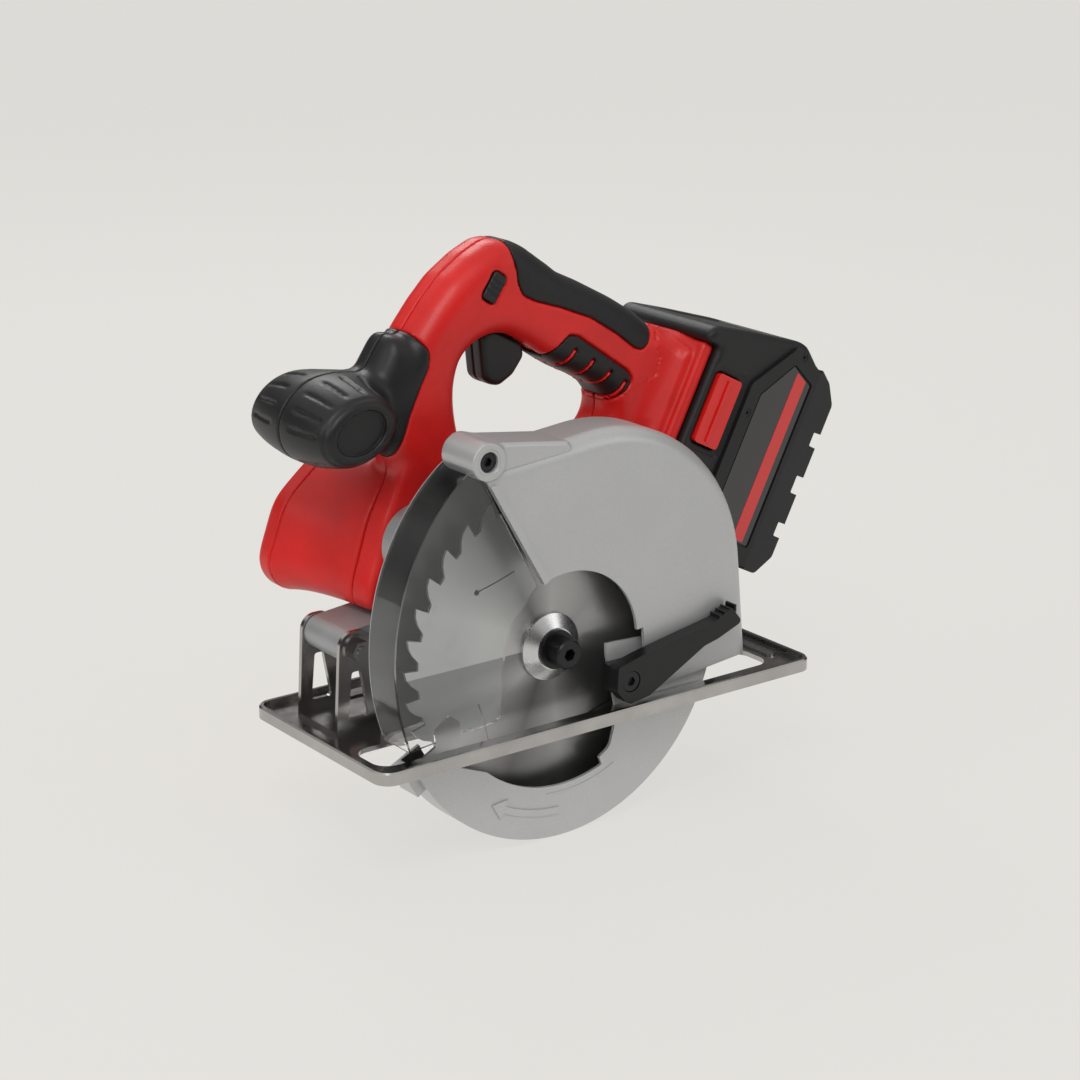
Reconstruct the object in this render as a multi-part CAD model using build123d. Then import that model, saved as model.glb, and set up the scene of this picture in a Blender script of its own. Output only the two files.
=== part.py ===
"""Cordless circular saw for metal, modelled as an assembly of separate pieces.

Row frame: the sole of the shoe is Z = 0, the arbor axis is X = 0, the blade's mid-plane is Y = 0.
+X points to the rear of the saw, +Y from the blade to the motor, +Z up.  Millimetres throughout.
Pieces carried by the saw's body are drawn in the body frame (arbor at the origin) and then
pitched about the arbor, because the depth setting holds the body nose-down against the shoe.
"""
from build123d import *
from math import acos, atan2, ceil, cos, degrees, hypot, radians, sin, sqrt
import os

# ---- driving dimensions -------------------------------------------------------------------------
ARBOR_HEIGHT = 37.6          # arbor axis above the sole, at this depth setting
BODY_PITCH = 5.5             # the body's pitch against the shoe, degrees
HANDLE_Y = 52.0              # parting plane of the handle, measured from the blade
HANDLE_SLOPE = 33.0          # the grip falls to the rear by this angle, degrees

BLADE_RADIUS = 87.3
BLADE_THICKNESS = 1.6
BLADE_TEETH = 34
BORE_RADIUS = 10.0
FLANGE_RADIUS = 17.5

SHOE_FRONT = -120.0
SHOE_REAR = 154.0
SHOE_NEAR = -31.0
SHOE_FAR = 89.6
SHOE_THICKNESS = 2.5
SHOE_RIM = 6.5               # height of the turned-up edge over the sole
SLOT_FRONT = -110.0
SLOT_REAR = 138.0
SLOT_NEAR = -14.6
SLOT_FAR = 12.6

GUARD_OUTER_Y = -18.0        # outer face of the upper guard
GUARD_BACK_Y = 10.5          # motor-side face of the upper guard
GUARD_TOP = 109.0
GUARD_REAR = 117.0
GUARD_BOTTOM = -35.0
GUARD_CORNER = 90.0          # radius of the guard's top rear corner
GUARD_WALL = 2.0
GUARD_CUTOUT = 43.5          # radius of the cut-out around the arbor

LOWER_RADIUS = 98.5          # lower guard, outside
LOWER_OUTER_Y = -13.2
LOWER_BACK_Y = 6.0
LOWER_WALL = 1.8
LOWER_WINDOW = 71.0          # inner edge of the lower guard's outer face

HINGE_X = -94.0              # depth hinge, row frame
HINGE_Z = 47.0
EAR_NEAR_Y = 34.0
EAR_FAR_Y = 66.0
SHEET = 2.4                  # thickness of the bent brackets

MOTOR_X = -48.0              # motor axis, body frame
MOTOR_Z = 60.0
MOTOR_RADIUS = 23.0
MOTOR_FRONT_Y = 57.0
MOTOR_REAR_Y = 100.0

HANDLE_HALF = 18.0           # half the handle's width
FOOT_HALF = 34.0             # half the width of the battery foot
SHELL = 3.0                  # wall of the housing
GRIP_SKIN = 2.6              # thickness of the black grips
EDGE_ROUND = 8.5             # rounding of the handle's long edges

BATTERY_HALF = 41.0
BATTERY_FRONT = 47.0         # face against the foot, along the grip
BATTERY_BASE_JOINT = 119.0   # where the case meets the ribbed base
BATTERY_END = 135.5
BATTERY_BOTTOM = 73.0
BATTERY_TOP = 185.0
CELL_RADIUS = 12.2
CELL_WEB = 1.2               # wall between two cells
CELL_LENGTH = 66.0

STAGE_1 = (12, 38, 1.5)      # teeth of the motor pinion, teeth of its gear, module
STAGE_2 = (14, 34, 1.7)      # teeth of the second pinion, teeth of the drive gear, module

# ---- named clearances ---------------------------------------------------------------------------
RUNNING = 0.06               # radial clearance of a shaft in its bore
GAP = 0.3                    # between pieces that move past each other
SLIDE = 0.25                 # between sliding faces

# ---- places along the arbor -----------------------------------------------------------------------
SHAFT_RADIUS = 4.0
SPINDLE_RADIUS = 8.0
SPINDLE_FACE = 0.2 - BLADE_THICKNESS / 2
BACK_WALL_Y = GUARD_BACK_Y - 2.3     # inner face of the upper guard's motor-side wall
CASE_FRONT_Y = GUARD_BACK_Y          # the gear case cover starts at the back of the upper guard
CASE_SPLIT_Y = CASE_FRONT_Y + 3.5
CASE_REAR_Y = CASE_FRONT_Y + 27.5
CASE_WALL = 3.0
REAR_BEARING_Y = CASE_REAR_Y - 7     # rear bearings sit behind the first gear
BEARING_WIDTH = 6.0
CAP_Y = MOTOR_REAR_Y + 1             # front of the motor's end cover
CAP_END_Y = CAP_Y + 14
COVER_HOLE = 2.5                     # depth of the second shaft's seat in the cover
BOLT_SHANK = 4.0


# ---- helpers ------------------------------------------------------------------------------------
def slab(sketch, y0, y1):
    """A flat sketch in (x, z), as a solid from y0 to y1."""
    return Pos(0, y0, 0) * extrude(Plane.XZ * sketch, y1 - y0, dir=(0, 1, 0))


def disc(x, z, radius):
    return Pos(x, z) * Circle(radius)


def rod(x, z, radius, y0, y1):
    """A cylinder along Y."""
    return slab(disc(x, z, radius), y0, y1)


def tube(x, z, outer, inner, y0, y1):
    """A ring along Y."""
    return slab(disc(x, z, outer) - disc(x, z, inner), y0, y1)


def outline(points, radius):
    """A closed outline whose corners have one radius, or a radius each."""
    return make_face(FilletPolyline(*points, radius=radius, close=True))


def box(x0, x1, y0, y1, z0, z1):
    return Pos((x0 + x1) / 2, (y0 + y1) / 2, (z0 + z1) / 2) * Box(x1 - x0, y1 - y0, z1 - z0)


def on_grip(u, v):
    """A point given along (u) and across (v) the grip, in body coordinates (x, z)."""
    slope = radians(HANDLE_SLOPE)
    return (u * cos(slope) + v * sin(slope), v * cos(slope) - u * sin(slope))


def grip_points(pairs):
    return [on_grip(u, v) for u, v in pairs]


def grip_block(u0, u1, v0, v1, radius):
    """A rectangle square to the grip, its corners rounded."""
    return outline(grip_points([(u0, v0), (u1, v0), (u1, v1), (u0, v1)]), radius)


def polar(radius, angle):
    return (radius * cos(radians(angle)), radius * sin(radians(angle)))


def in_body(shape):
    """From the body frame to the row frame."""
    return Pos(0, 0, ARBOR_HEIGHT) * Rot(0, -BODY_PITCH, 0) * shape


def on_arbor(shape):
    """From arbor coordinates that stay level with the shoe to the row frame."""
    return Pos(0, 0, ARBOR_HEIGHT) * shape


def save(name, shape):
    solids = shape.solids()
    export_step(solids[0] if len(solids) == 1 else Compound(solids), f"parts/{name}.step")


def body_point(x, z):
    """A row-frame point as body coordinates."""
    pitch = radians(BODY_PITCH)
    up = z - ARBOR_HEIGHT
    return (x * cos(pitch) + up * sin(pitch), up * cos(pitch) - x * sin(pitch))


def gear(x, z, teeth, module, y0, y1, turn, bore):
    """A spur gear with straight-sided teeth and backlash; turn is the angle of one tooth."""
    pitch_radius = teeth * module / 2
    tip = pitch_radius + 0.85 * module
    root = pitch_radius - 1.15 * module
    step = 360 / teeth
    points = []
    for tooth in range(teeth):
        middle = turn + tooth * step
        for radius, share in ((root, -0.30), (tip, -0.11), (tip, 0.11), (root, 0.30)):
            px, pz = polar(radius, middle + share * step)
            points.append((x + px, z + pz))
    return slab(Polygon(*points, align=None) - disc(x, z, bore), y0, y1)


def coil(radius, wire, length, turns):
    """A compression spring from the origin up Z, as closed rings joined by a side wire."""
    spring = Pos(radius, 0, length / 2) * Cylinder(wire * 0.8, length - 2 * wire)
    for index in range(turns):
        rise = wire + index * (length - 2 * wire) / (turns - 1)
        spring += Pos(0, 0, rise) * Torus(radius, wire)
    return spring


def coil_along_y(x, z, radius, wire, y0, y1, turns):
    return Pos(x, y0, z) * Rot(-90, 0, 0) * coil(radius, wire, y1 - y0, turns)


def screw(x, z, head, shank, y_head, y_seat, y_end):
    """A socket-head screw along Y, its head's face at y_head."""
    sink = (y_seat - y_head) * 0.5
    body = rod(x, z, head, min(y_head, y_seat), max(y_head, y_seat))
    body += rod(x, z, shank, min(y_seat, y_end), max(y_seat, y_end))
    socket = Pos(x, z) * RegularPolygon(head * 0.5, 6)
    return body - slab(socket, min(y_head, y_head + sink), max(y_head, y_head + sink))


# ---- gear train ---------------------------------------------------------------------------------
CENTRES_1 = (STAGE_1[0] + STAGE_1[1]) * STAGE_1[2] / 2
CENTRES_2 = (STAGE_2[0] + STAGE_2[1]) * STAGE_2[2] / 2
MOTOR_DISTANCE = hypot(MOTOR_X, MOTOR_Z)
MOTOR_ANGLE = degrees(atan2(MOTOR_Z, MOTOR_X))


def intermediate_centre():
    """Where the two centre distances close the triangle, below the line to the motor."""
    along = (CENTRES_2 ** 2 - CENTRES_1 ** 2 + MOTOR_DISTANCE ** 2) / (2 * MOTOR_DISTANCE)
    swing = degrees(acos(along / CENTRES_2))
    return polar(CENTRES_2, MOTOR_ANGLE + swing)


MID_X, MID_Z = intermediate_centre()


# ---- shoe and its brackets ----------------------------------------------------------------------
def shoe():
    length = SHOE_REAR - SHOE_FRONT
    width = SHOE_FAR - SHOE_NEAR
    centre = Pos((SHOE_REAR + SHOE_FRONT) / 2, (SHOE_FAR + SHOE_NEAR) / 2)
    corner = 9.0
    outer = centre * RectangleRounded(length, width, corner)
    inner = centre * RectangleRounded(length - 2 * SHOE_THICKNESS, width - 2 * SHOE_THICKNESS,
                                      corner - SHOE_THICKNESS)
    slot = Pos((SLOT_REAR + SLOT_FRONT) / 2, (SLOT_FAR + SLOT_NEAR) / 2)
    slot = slot * RectangleRounded(SLOT_REAR - SLOT_FRONT, SLOT_FAR - SLOT_NEAR, corner)
    plate = extrude(outer - slot, SHOE_THICKNESS)
    rim = extrude(outer - inner, SHOE_RIM)
    rim = chamfer(rim.faces().sort_by(Axis.Z)[-1].outer_wire().edges(), 0.8)
    body = plate + rim
    # pressed stiffening ribs behind and in front of the slot, and along the motor side
    rib = 1.2
    for x0, x1, y0, y1 in ((SHOE_REAR - 12, SHOE_REAR - 6, -8, SHOE_FAR - 14),
                           (SHOE_FRONT + 30, SHOE_REAR - 24, SHOE_FAR - 16, SHOE_FAR - 8)):
        bead = Pos((x0 + x1) / 2, (y0 + y1) / 2, SHOE_THICKNESS)
        body += bead * extrude(RectangleRounded(x1 - x0, y1 - y0, 2.5), rib)
    return body


BRACKET_TOE = SHOE_FRONT + 14          # front edge of the hinge bracket's foot
EAR_TOP = 9.0                          # radius of an ear's top
HINGE_PIN = 3.0


def shoe_bracket():
    """Foot and two A-shaped ears of bent sheet, standing on the shoe."""
    base = SHOE_THICKNESS
    foot = box(BRACKET_TOE, BRACKET_TOE + 26, EAR_NEAR_Y, EAR_FAR_Y, base, base + SHEET)
    shape = foot
    outer = outline([(BRACKET_TOE, base), (HINGE_X - EAR_TOP, HINGE_Z + EAR_TOP),
                     (HINGE_X + EAR_TOP, HINGE_Z + EAR_TOP), (BRACKET_TOE + 26, base)],
                    [0.6, 8.0, 8.0, 0.6])
    window = outline([(BRACKET_TOE + 7, base + 8), (HINGE_X - 2.6, HINGE_Z - 12),
                      (HINGE_X + 2.6, HINGE_Z - 12), (BRACKET_TOE + 19, base + 8)], 1.6)
    ear = outer - window - disc(HINGE_X, HINGE_Z, HINGE_PIN)
    shape += slab(ear, EAR_NEAR_Y - SHEET, EAR_NEAR_Y)
    shape += slab(ear, EAR_FAR_Y, EAR_FAR_Y + SHEET)
    return shape


def hinge_bolt():
    near = EAR_NEAR_Y - SHEET
    far = EAR_FAR_Y + SHEET
    bolt = rod(HINGE_X, HINGE_Z, HINGE_PIN - RUNNING, near - 7, far)
    return bolt + slab(Pos(HINGE_X, HINGE_Z) * RegularPolygon(5.5, 6), far, far + 4)


def hinge_nut():
    near = EAR_NEAR_Y - SHEET
    washer = tube(HINGE_X, HINGE_Z, 7.0, HINGE_PIN, near - 1.2, near)
    nut = Pos(HINGE_X, HINGE_Z) * RegularPolygon(5.6, 6) - disc(HINGE_X, HINGE_Z, HINGE_PIN)
    return washer + slab(nut, near - 6.2, near - 1.2)


DEPTH_Y = 19.0                         # inner face of the depth bracket
DEPTH_RADIUS = 150.0                   # its slot's radius about the hinge
DEPTH_TRAVEL = 22.0                    # degrees
DEPTH_BOLT = 3.0
DEPTH_START = -13.0                    # direction from hinge to bolt at rest, degrees


def depth_arc(radius, turn):
    """A point on a circle about the hinge, turn degrees up from the bolt's place at rest."""
    dx, dz = polar(radius, DEPTH_START + turn)
    return (HINGE_X + dx, HINGE_Z + dz)


def depth_point(turn):
    """Bolt place seen from the shoe after the body has been raised by turn degrees."""
    return depth_arc(DEPTH_RADIUS, turn)


def depth_bracket():
    """Slotted quadrant on the shoe that the body is clamped to."""
    margin = 8.0
    turns = (-1.5, DEPTH_TRAVEL / 2, DEPTH_TRAVEL + 4)
    outer = [depth_arc(DEPTH_RADIUS + margin, turn) for turn in turns]
    inner = [depth_arc(DEPTH_RADIUS - margin, turn) for turn in reversed(turns)]
    foot_x0 = inner[-1][0] - 2
    foot_x1 = outer[0][0] + 2
    edges = ThreePointArc(*outer) + Line(outer[-1], inner[0]) + ThreePointArc(*inner)
    edges += Polyline(inner[-1], (foot_x0, SHOE_THICKNESS), (foot_x1, SHOE_THICKNESS), outer[0])
    plate = make_face(edges)
    half = DEPTH_BOLT + GAP
    travel = (0, DEPTH_TRAVEL / 2, DEPTH_TRAVEL)
    far = [depth_arc(DEPTH_RADIUS + half, turn) for turn in travel]
    near = [depth_arc(DEPTH_RADIUS - half, turn) for turn in reversed(travel)]
    slot = make_face(ThreePointArc(*far) + Line(far[-1], near[0])
                     + ThreePointArc(*near) + Line(near[-1], far[0]))
    slot += disc(*depth_point(0), half)
    slot += disc(*depth_point(DEPTH_TRAVEL), half)
    quadrant = slab(plate - slot, DEPTH_Y, DEPTH_Y + SHEET)
    foot = box(foot_x0, foot_x1, DEPTH_Y, DEPTH_Y + 16, SHOE_THICKNESS, SHOE_THICKNESS + SHEET)
    return quadrant + foot


def depth_lever():
    """Clamping lever with its nut, on the motor side of the quadrant."""
    x, z = body_point(*depth_point(0))
    y0 = DEPTH_Y + SHEET + GAP
    hub = tube(x, z, 8.0, DEPTH_BOLT + RUNNING, y0, y0 + 8)
    arm = outline([(x + 4, z + 5), (x + 46, z + 4), (x + 46, z - 5), (x + 4, z - 6)], 2.5)
    arm = arm - disc(x, z, 7.0)
    return hub + slab(arm, y0 + 3, y0 + 8)


# ---- blade and its clamping ---------------------------------------------------------------------
TOOTH_START = 177.0
GULLET = 8.0                           # depth of the space ahead of a tooth
LASER_SLOTS = 4                        # relief slots cut through the plate


def blade():
    step = 360 / BLADE_TEETH
    points = []
    profile = ((0.0, 0.0), (GULLET, -0.02), (GULLET, 0.26), (4.0, 0.50), (1.2, 0.74))
    for tooth in range(BLADE_TEETH):
        tip = TOOTH_START - tooth * step
        for depth, share in profile:
            points.append(polar(BLADE_RADIUS - depth, tip - share * step))
    plate = Polygon(*points, align=None) - Circle(BORE_RADIUS)
    width = 0.8
    curve = ((58.0, 0), (52.0, -11), (49.0, -24))
    for index in range(LASER_SLOTS):
        start = 140.0 + index * 360 / LASER_SLOTS
        far = [polar(radius, start + turn) for radius, turn in curve]
        near = [polar(radius - width, start + turn) for radius, turn in reversed(curve)]
        plate -= make_face(ThreePointArc(*far) + Line(far[-1], near[0])
                           + ThreePointArc(*near) + Line(near[-1], far[0]))
        plate -= disc(*polar(curve[0][0] - width / 2, start), 1.5)
    return slab(plate, -BLADE_THICKNESS / 2, BLADE_THICKNESS / 2)


def outer_flange():
    half = BLADE_THICKNESS / 2
    stand = (Align.CENTER, Align.CENTER, Align.MIN)
    cone = Cone(FLANGE_RADIUS, 11.0, FLANGE_CONE, align=stand)
    cone = Pos(0, -half - FLANGE_RIM, 0) * Rot(90, 0, 0) * cone
    body = rod(0, 0, FLANGE_RADIUS, -half - FLANGE_RIM, -half) + cone
    return body - rod(0, 0, BOLT_SHANK + RUNNING, FLANGE_FACE - 1, 0)


FLANGE_RIM = 2.0
FLANGE_CONE = 4.0
FLANGE_FACE = -BLADE_THICKNESS / 2 - FLANGE_RIM - FLANGE_CONE
WASHER = 1.8
BOLT_HEAD = 7.6
BOLT_FACE = -18.5


def bolt_washer():
    return tube(0, 0, 10.2, BOLT_SHANK + RUNNING, FLANGE_FACE - WASHER, FLANGE_FACE)


def blade_bolt():
    seat = FLANGE_FACE - WASHER
    head = rod(0, 0, BOLT_HEAD, BOLT_FACE, seat)
    head = chamfer(head.faces().sort_by(Axis.Y)[0].edges(), 0.8)
    head -= slab(RegularPolygon(3.4, 6), BOLT_FACE, BOLT_FACE + 5)
    return head + rod(0, 0, BOLT_SHANK - RUNNING, seat, SPINDLE_FACE + 14)


def spindle():
    """Shaft with a register for the blade and a threaded end for the bolt."""
    shaft = rod(0, 0, BORE_RADIUS - RUNNING, SPINDLE_FACE, 3.0)
    shaft += rod(0, 0, SPINDLE_RADIUS, 3.0, REAR_BEARING_Y + BEARING_WIDTH)
    return shaft - rod(0, 0, BOLT_SHANK, SPINDLE_FACE, SPINDLE_FACE + 15)


INNER_FLANGE_BACK = 3.9


def inner_flange():
    half = BLADE_THICKNESS / 2
    ring = tube(0, 0, FLANGE_RADIUS, BORE_RADIUS, half, 3.0)
    return ring + tube(0, 0, FLANGE_RADIUS - 3, SPINDLE_RADIUS, 3.0, INNER_FLANGE_BACK)


GEAR_2_Y = (15.0, 22.0)                # drive gear and second pinion
GEAR_1_Y = (23.5, 30.0)                # motor pinion and first gear


def drive_gear():
    return gear(0, 0, STAGE_2[1], STAGE_2[2], *GEAR_2_Y, line_angle(0, 0, MID_X, MID_Z),
                SPINDLE_RADIUS)


def line_angle(x0, z0, x1, z1):
    return degrees(atan2(z1 - z0, x1 - x0))


def intermediate_shaft():
    """Second shaft with its pinion cut from the solid."""
    half_step = 180 / STAGE_2[0]
    turn = line_angle(MID_X, MID_Z, 0, 0) + half_step
    teeth = gear(MID_X, MID_Z, STAGE_2[0], STAGE_2[2], *GEAR_2_Y, turn, 1.0)
    front = CASE_SPLIT_Y - COVER_HOLE
    core = rod(MID_X, MID_Z, SHAFT_RADIUS, front, REAR_BEARING_Y + BEARING_WIDTH)
    return teeth + core + rod(MID_X, MID_Z, SHAFT_RADIUS + 3, GEAR_2_Y[1], GEAR_1_Y[0])


def intermediate_gear():
    turn = line_angle(MID_X, MID_Z, MOTOR_X, MOTOR_Z)
    return gear(MID_X, MID_Z, STAGE_1[1], STAGE_1[2], *GEAR_1_Y, turn, SHAFT_RADIUS)


def motor_shaft():
    """Motor shaft with its pinion cut from the solid."""
    half_step = 180 / STAGE_1[0]
    turn = line_angle(MOTOR_X, MOTOR_Z, MID_X, MID_Z) + half_step
    teeth = gear(MOTOR_X, MOTOR_Z, STAGE_1[0], STAGE_1[2], *GEAR_1_Y, turn, 1.0)
    return teeth + rod(MOTOR_X, MOTOR_Z, SHAFT_RADIUS, GEAR_1_Y[0], MOTOR_REAR_Y + 7)


def bearing(x, z, shaft, outer, y0, width=BEARING_WIDTH):
    """A bearing as a plain ring that runs on the shaft."""
    return tube(x, z, outer, shaft + RUNNING, y0, y0 + width)


SPINDLE_BEARING = 15.0
MID_BEARING = 8.0
MOTOR_BEARING = 10.0
NOSE_RADIUS = 23.9
NOSE_FRONT = 4.3


def bearings():
    """Ball bearings of the spindle, the second shaft and the motor."""
    group = bearing(0, 0, SPINDLE_RADIUS, SPINDLE_BEARING, CASE_SPLIT_Y - 8)
    group += bearing(0, 0, SPINDLE_RADIUS, SPINDLE_BEARING - 2, REAR_BEARING_Y)
    front = CASE_SPLIT_Y - COVER_HOLE
    group += bearing(MID_X, MID_Z, SHAFT_RADIUS, MID_BEARING, front, COVER_HOLE)
    group += bearing(MID_X, MID_Z, SHAFT_RADIUS, MID_BEARING, REAR_BEARING_Y)
    group += bearing(MOTOR_X, MOTOR_Z, SHAFT_RADIUS, MOTOR_BEARING, CASE_REAR_Y - CASE_WALL)
    return group + bearing(MOTOR_X, MOTOR_Z, SHAFT_RADIUS, MOTOR_BEARING, CAP_END_Y - 10.5)


DRIVE_ROOM = (STAGE_2[1] / 2 + 1) * STAGE_2[2] + 1.5
GEAR_ROOM = (STAGE_1[1] / 2 + 1) * STAGE_1[2] + 1.5


def case_outline(grow):
    """Outline around the three shafts."""
    big = disc(0, 0, DRIVE_ROOM + grow)
    mid = disc(MID_X, MID_Z, GEAR_ROOM + grow)
    top = disc(MOTOR_X, MOTOR_Z, 17 + grow)
    return big + mid + top


def gear_case_cover():
    """Plate on the blade side, with the nose that the lower guard turns on."""
    plate = slab(case_outline(CASE_WALL), CASE_FRONT_Y, CASE_SPLIT_Y)
    plate += rod(0, 0, NOSE_RADIUS, NOSE_FRONT, CASE_FRONT_Y)
    plate -= rod(0, 0, SPINDLE_BEARING, CASE_SPLIT_Y - 8, CASE_SPLIT_Y)
    plate -= rod(0, 0, SPINDLE_RADIUS + 2, NOSE_FRONT, CASE_SPLIT_Y)
    plate -= rod(MID_X, MID_Z, MID_BEARING, CASE_SPLIT_Y - COVER_HOLE, CASE_SPLIT_Y)
    return plate


LOCK_PIN_AT = (22.0, 10.0)
LOCK_PIN = 3.0
ARM_TOP = 27.0
ARM_BOTTOM = 9.0
BOSS_RADIUS = 8.6


def gear_case():
    """Cast cup around the gears, with the arm that reaches forward to the depth hinge."""
    hinge_x, hinge_z = body_point(HINGE_X, HINGE_Z)
    cup = slab(case_outline(CASE_WALL), CASE_SPLIT_Y, CASE_REAR_Y)
    near = EAR_NEAR_Y + GAP
    far = EAR_FAR_Y - GAP
    arm = slab(outline([(hinge_x, hinge_z + BOSS_RADIUS), (-20, ARM_TOP + 0.5), (-20, ARM_BOTTOM),
                        (hinge_x, hinge_z - BOSS_RADIUS)], 1.0), near, far)
    arm += rod(hinge_x, hinge_z, BOSS_RADIUS, near, far)
    shape = cup + arm
    shape += slab(depth_boss_outline(), CASE_SPLIT_Y, DEPTH_Y - GAP)
    cavity = slab(case_outline(0), CASE_SPLIT_Y, CASE_REAR_Y - CASE_WALL)
    shape -= cavity
    floor = CASE_REAR_Y - CASE_WALL
    shape += tube(0, 0, SPINDLE_BEARING + 1, SPINDLE_BEARING - 2, REAR_BEARING_Y, floor)
    shape += tube(MID_X, MID_Z, MID_BEARING + 2.5, MID_BEARING, REAR_BEARING_Y, floor)
    for x, z, radius in ((0, 0, SPINDLE_BEARING - 2), (MID_X, MID_Z, MID_BEARING)):
        shape -= rod(x, z, radius, REAR_BEARING_Y, REAR_BEARING_Y + BEARING_WIDTH)
    shape -= rod(*LOCK_PIN_AT, LOCK_PIN, REAR_BEARING_Y, CASE_REAR_Y)
    shape -= rod(MOTOR_X, MOTOR_Z, MOTOR_BEARING, CASE_REAR_Y - CASE_WALL, CASE_REAR_Y + 1)
    shape -= rod(hinge_x, hinge_z, HINGE_PIN, near, far)
    return shape


def depth_boss_outline():
    """Lug behind the guard that carries the depth bolt."""
    x, z = body_point(*depth_point(0))
    lug = disc(x, z, 9.0) + Polygon((26, -18), (x, z - 9), (x, z + 9), (26, 16), align=None)
    return lug - disc(0, 0, 31)


def depth_bolt():
    x, z = body_point(*depth_point(0))
    return rod(x, z, DEPTH_BOLT - RUNNING, DEPTH_Y - GAP, DEPTH_Y + SHEET + 9)


# ---- guards -------------------------------------------------------------------------------------
TIP = (-12.0, 41.5)                    # lower end of the guard's slanted front edge
BROW = (-43.0, GUARD_TOP)              # upper end of that edge


def guard_hood(grow):
    """Outline of the upper guard without its cut-out, drawn in by -grow."""
    top = GUARD_TOP + grow
    rear = GUARD_REAR + grow
    low = GUARD_BOTTOM
    radius = GUARD_CORNER + grow
    start = (rear - radius, top)
    half = radius / sqrt(2)
    middle = (rear - radius + half, top - radius + half)
    edges = Line((rear, low), (rear, top - radius))
    edges += ThreePointArc((rear, top - radius), middle, start)
    edges += Polyline(start, (BROW[0], top), (-104, top), (-104, low), (rear, low))
    return make_face(edges)


def slanted_front():
    """Everything ahead of the guard's slanted front edge and around the arbor."""
    ahead = Polygon((BROW[0], GUARD_TOP + 20), BROW, TIP, (TIP[0], -60), (-140, -60),
                    (-140, GUARD_TOP + 20), align=None)
    below = Polygon((TIP[0], 0), (47.5, 0), (47.5, -60), (TIP[0], -60), align=None)
    return ahead + below + Circle(GUARD_CUTOUT)


SHOULDER = 9.0
NEST = 33.0                            # hole in the back wall for the gear case


def ahead_of(x):
    """Everything ahead of x, as a sketch."""
    return Polygon((x, 150), (x, -60), (-150, -60), (-150, 150), align=None)


def round_front(shape, radius):
    """Rounds the guard's long edge on the blade side, but not its front and bottom edges."""
    face = shape.faces().sort_by(Axis.Y)[0]
    low = GUARD_BOTTOM + 1
    ahead = BROW[0] + 0.5
    edges = [e for e in face.edges() if e.center().Z > low and e.center().X > ahead]
    return fillet(edges, radius)


def upper_guard():
    hood = guard_hood(0) - ahead_of(BROW[0])
    shell = round_front(slab(hood, GUARD_OUTER_Y, GUARD_BACK_Y), SHOULDER)
    inner = guard_hood(-GUARD_WALL) - ahead_of(BROW[0] - 1)
    hollow = slab(inner, GUARD_OUTER_Y + GUARD_WALL, BACK_WALL_Y)
    shell -= round_front(hollow, SHOULDER - GUARD_WALL)
    shell -= slab(slanted_front(), GUARD_OUTER_Y - 1, GUARD_OUTER_Y + GUARD_WALL + SHOULDER)
    shell += slab(back_wall(), BACK_WALL_Y, GUARD_BACK_Y)
    shell -= rod(0, 0, NEST, BACK_WALL_Y - 1, GUARD_BACK_Y + 1)
    shell -= guard_pin()
    bead = Polygon(BROW, TIP, (TIP[0] + 3.4, TIP[1] + 1.5), (BROW[0] + 3.6, BROW[1] + 0.8),
                   align=None) & guard_hood(-SHOULDER)
    shell += slab(bead, GUARD_OUTER_Y - 1.2, GUARD_OUTER_Y)
    boss = Pos(*BOSS_AT) * Circle(BOSS)
    shell += slab(boss, GUARD_OUTER_Y - 0.5, BACK_WALL_Y)
    shell -= rod(*BOSS_AT, SCREW_HEAD + GAP, GUARD_OUTER_Y - 1, SCREW_SEAT)
    shell -= rod(*BOSS_AT, 2.4, GUARD_OUTER_Y - 1, BACK_WALL_Y)
    return shell


BOSS_AT = (-38.0, 112.0)
BOSS = 8.0
SCREW_HEAD = 4.9                       # window screw
SCREW_SEAT = GUARD_OUTER_Y + 5


def window_curve(inset):
    """Front rim of the clear window, drawn in by inset."""
    return [(-43.6 - 0.2 * inset, 112.0 - inset), (-72 + 0.7 * inset, 90.5 - 0.7 * inset),
            (-92 + 0.9 * inset, 59 - 0.5 * inset), (-101.5 + inset, 20), (-98.5 + inset, -17)]


def front_region(inset, right, low):
    """Region ahead of the slanted edge, inside the window's rim."""
    rim = window_curve(inset)
    foot = (rim[-1][0] + 1, low)
    edges = Spline(*rim)
    edges += Polyline(rim[-1], foot, (right, low), (right, rim[0][1]), rim[0])
    return make_face(edges)


def back_wall():
    """Motor-side wall of the upper guard, reaching forward behind the clear window."""
    front = front_region(3.0, BROW[0] + 2, -20)
    rear = guard_hood(0) - ahead_of(BROW[0])
    low = Polygon((-140, -60), (-140, -19), (BROW[0], -24), (GUARD_REAR, GUARD_BOTTOM),
                  (150, GUARD_BOTTOM), (150, -60), align=None)
    return front + rear - low


WINDOW_FACE_Y = -16.0                  # outer face of the clear window
WINDOW_BACK_Y = 6.0


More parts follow.
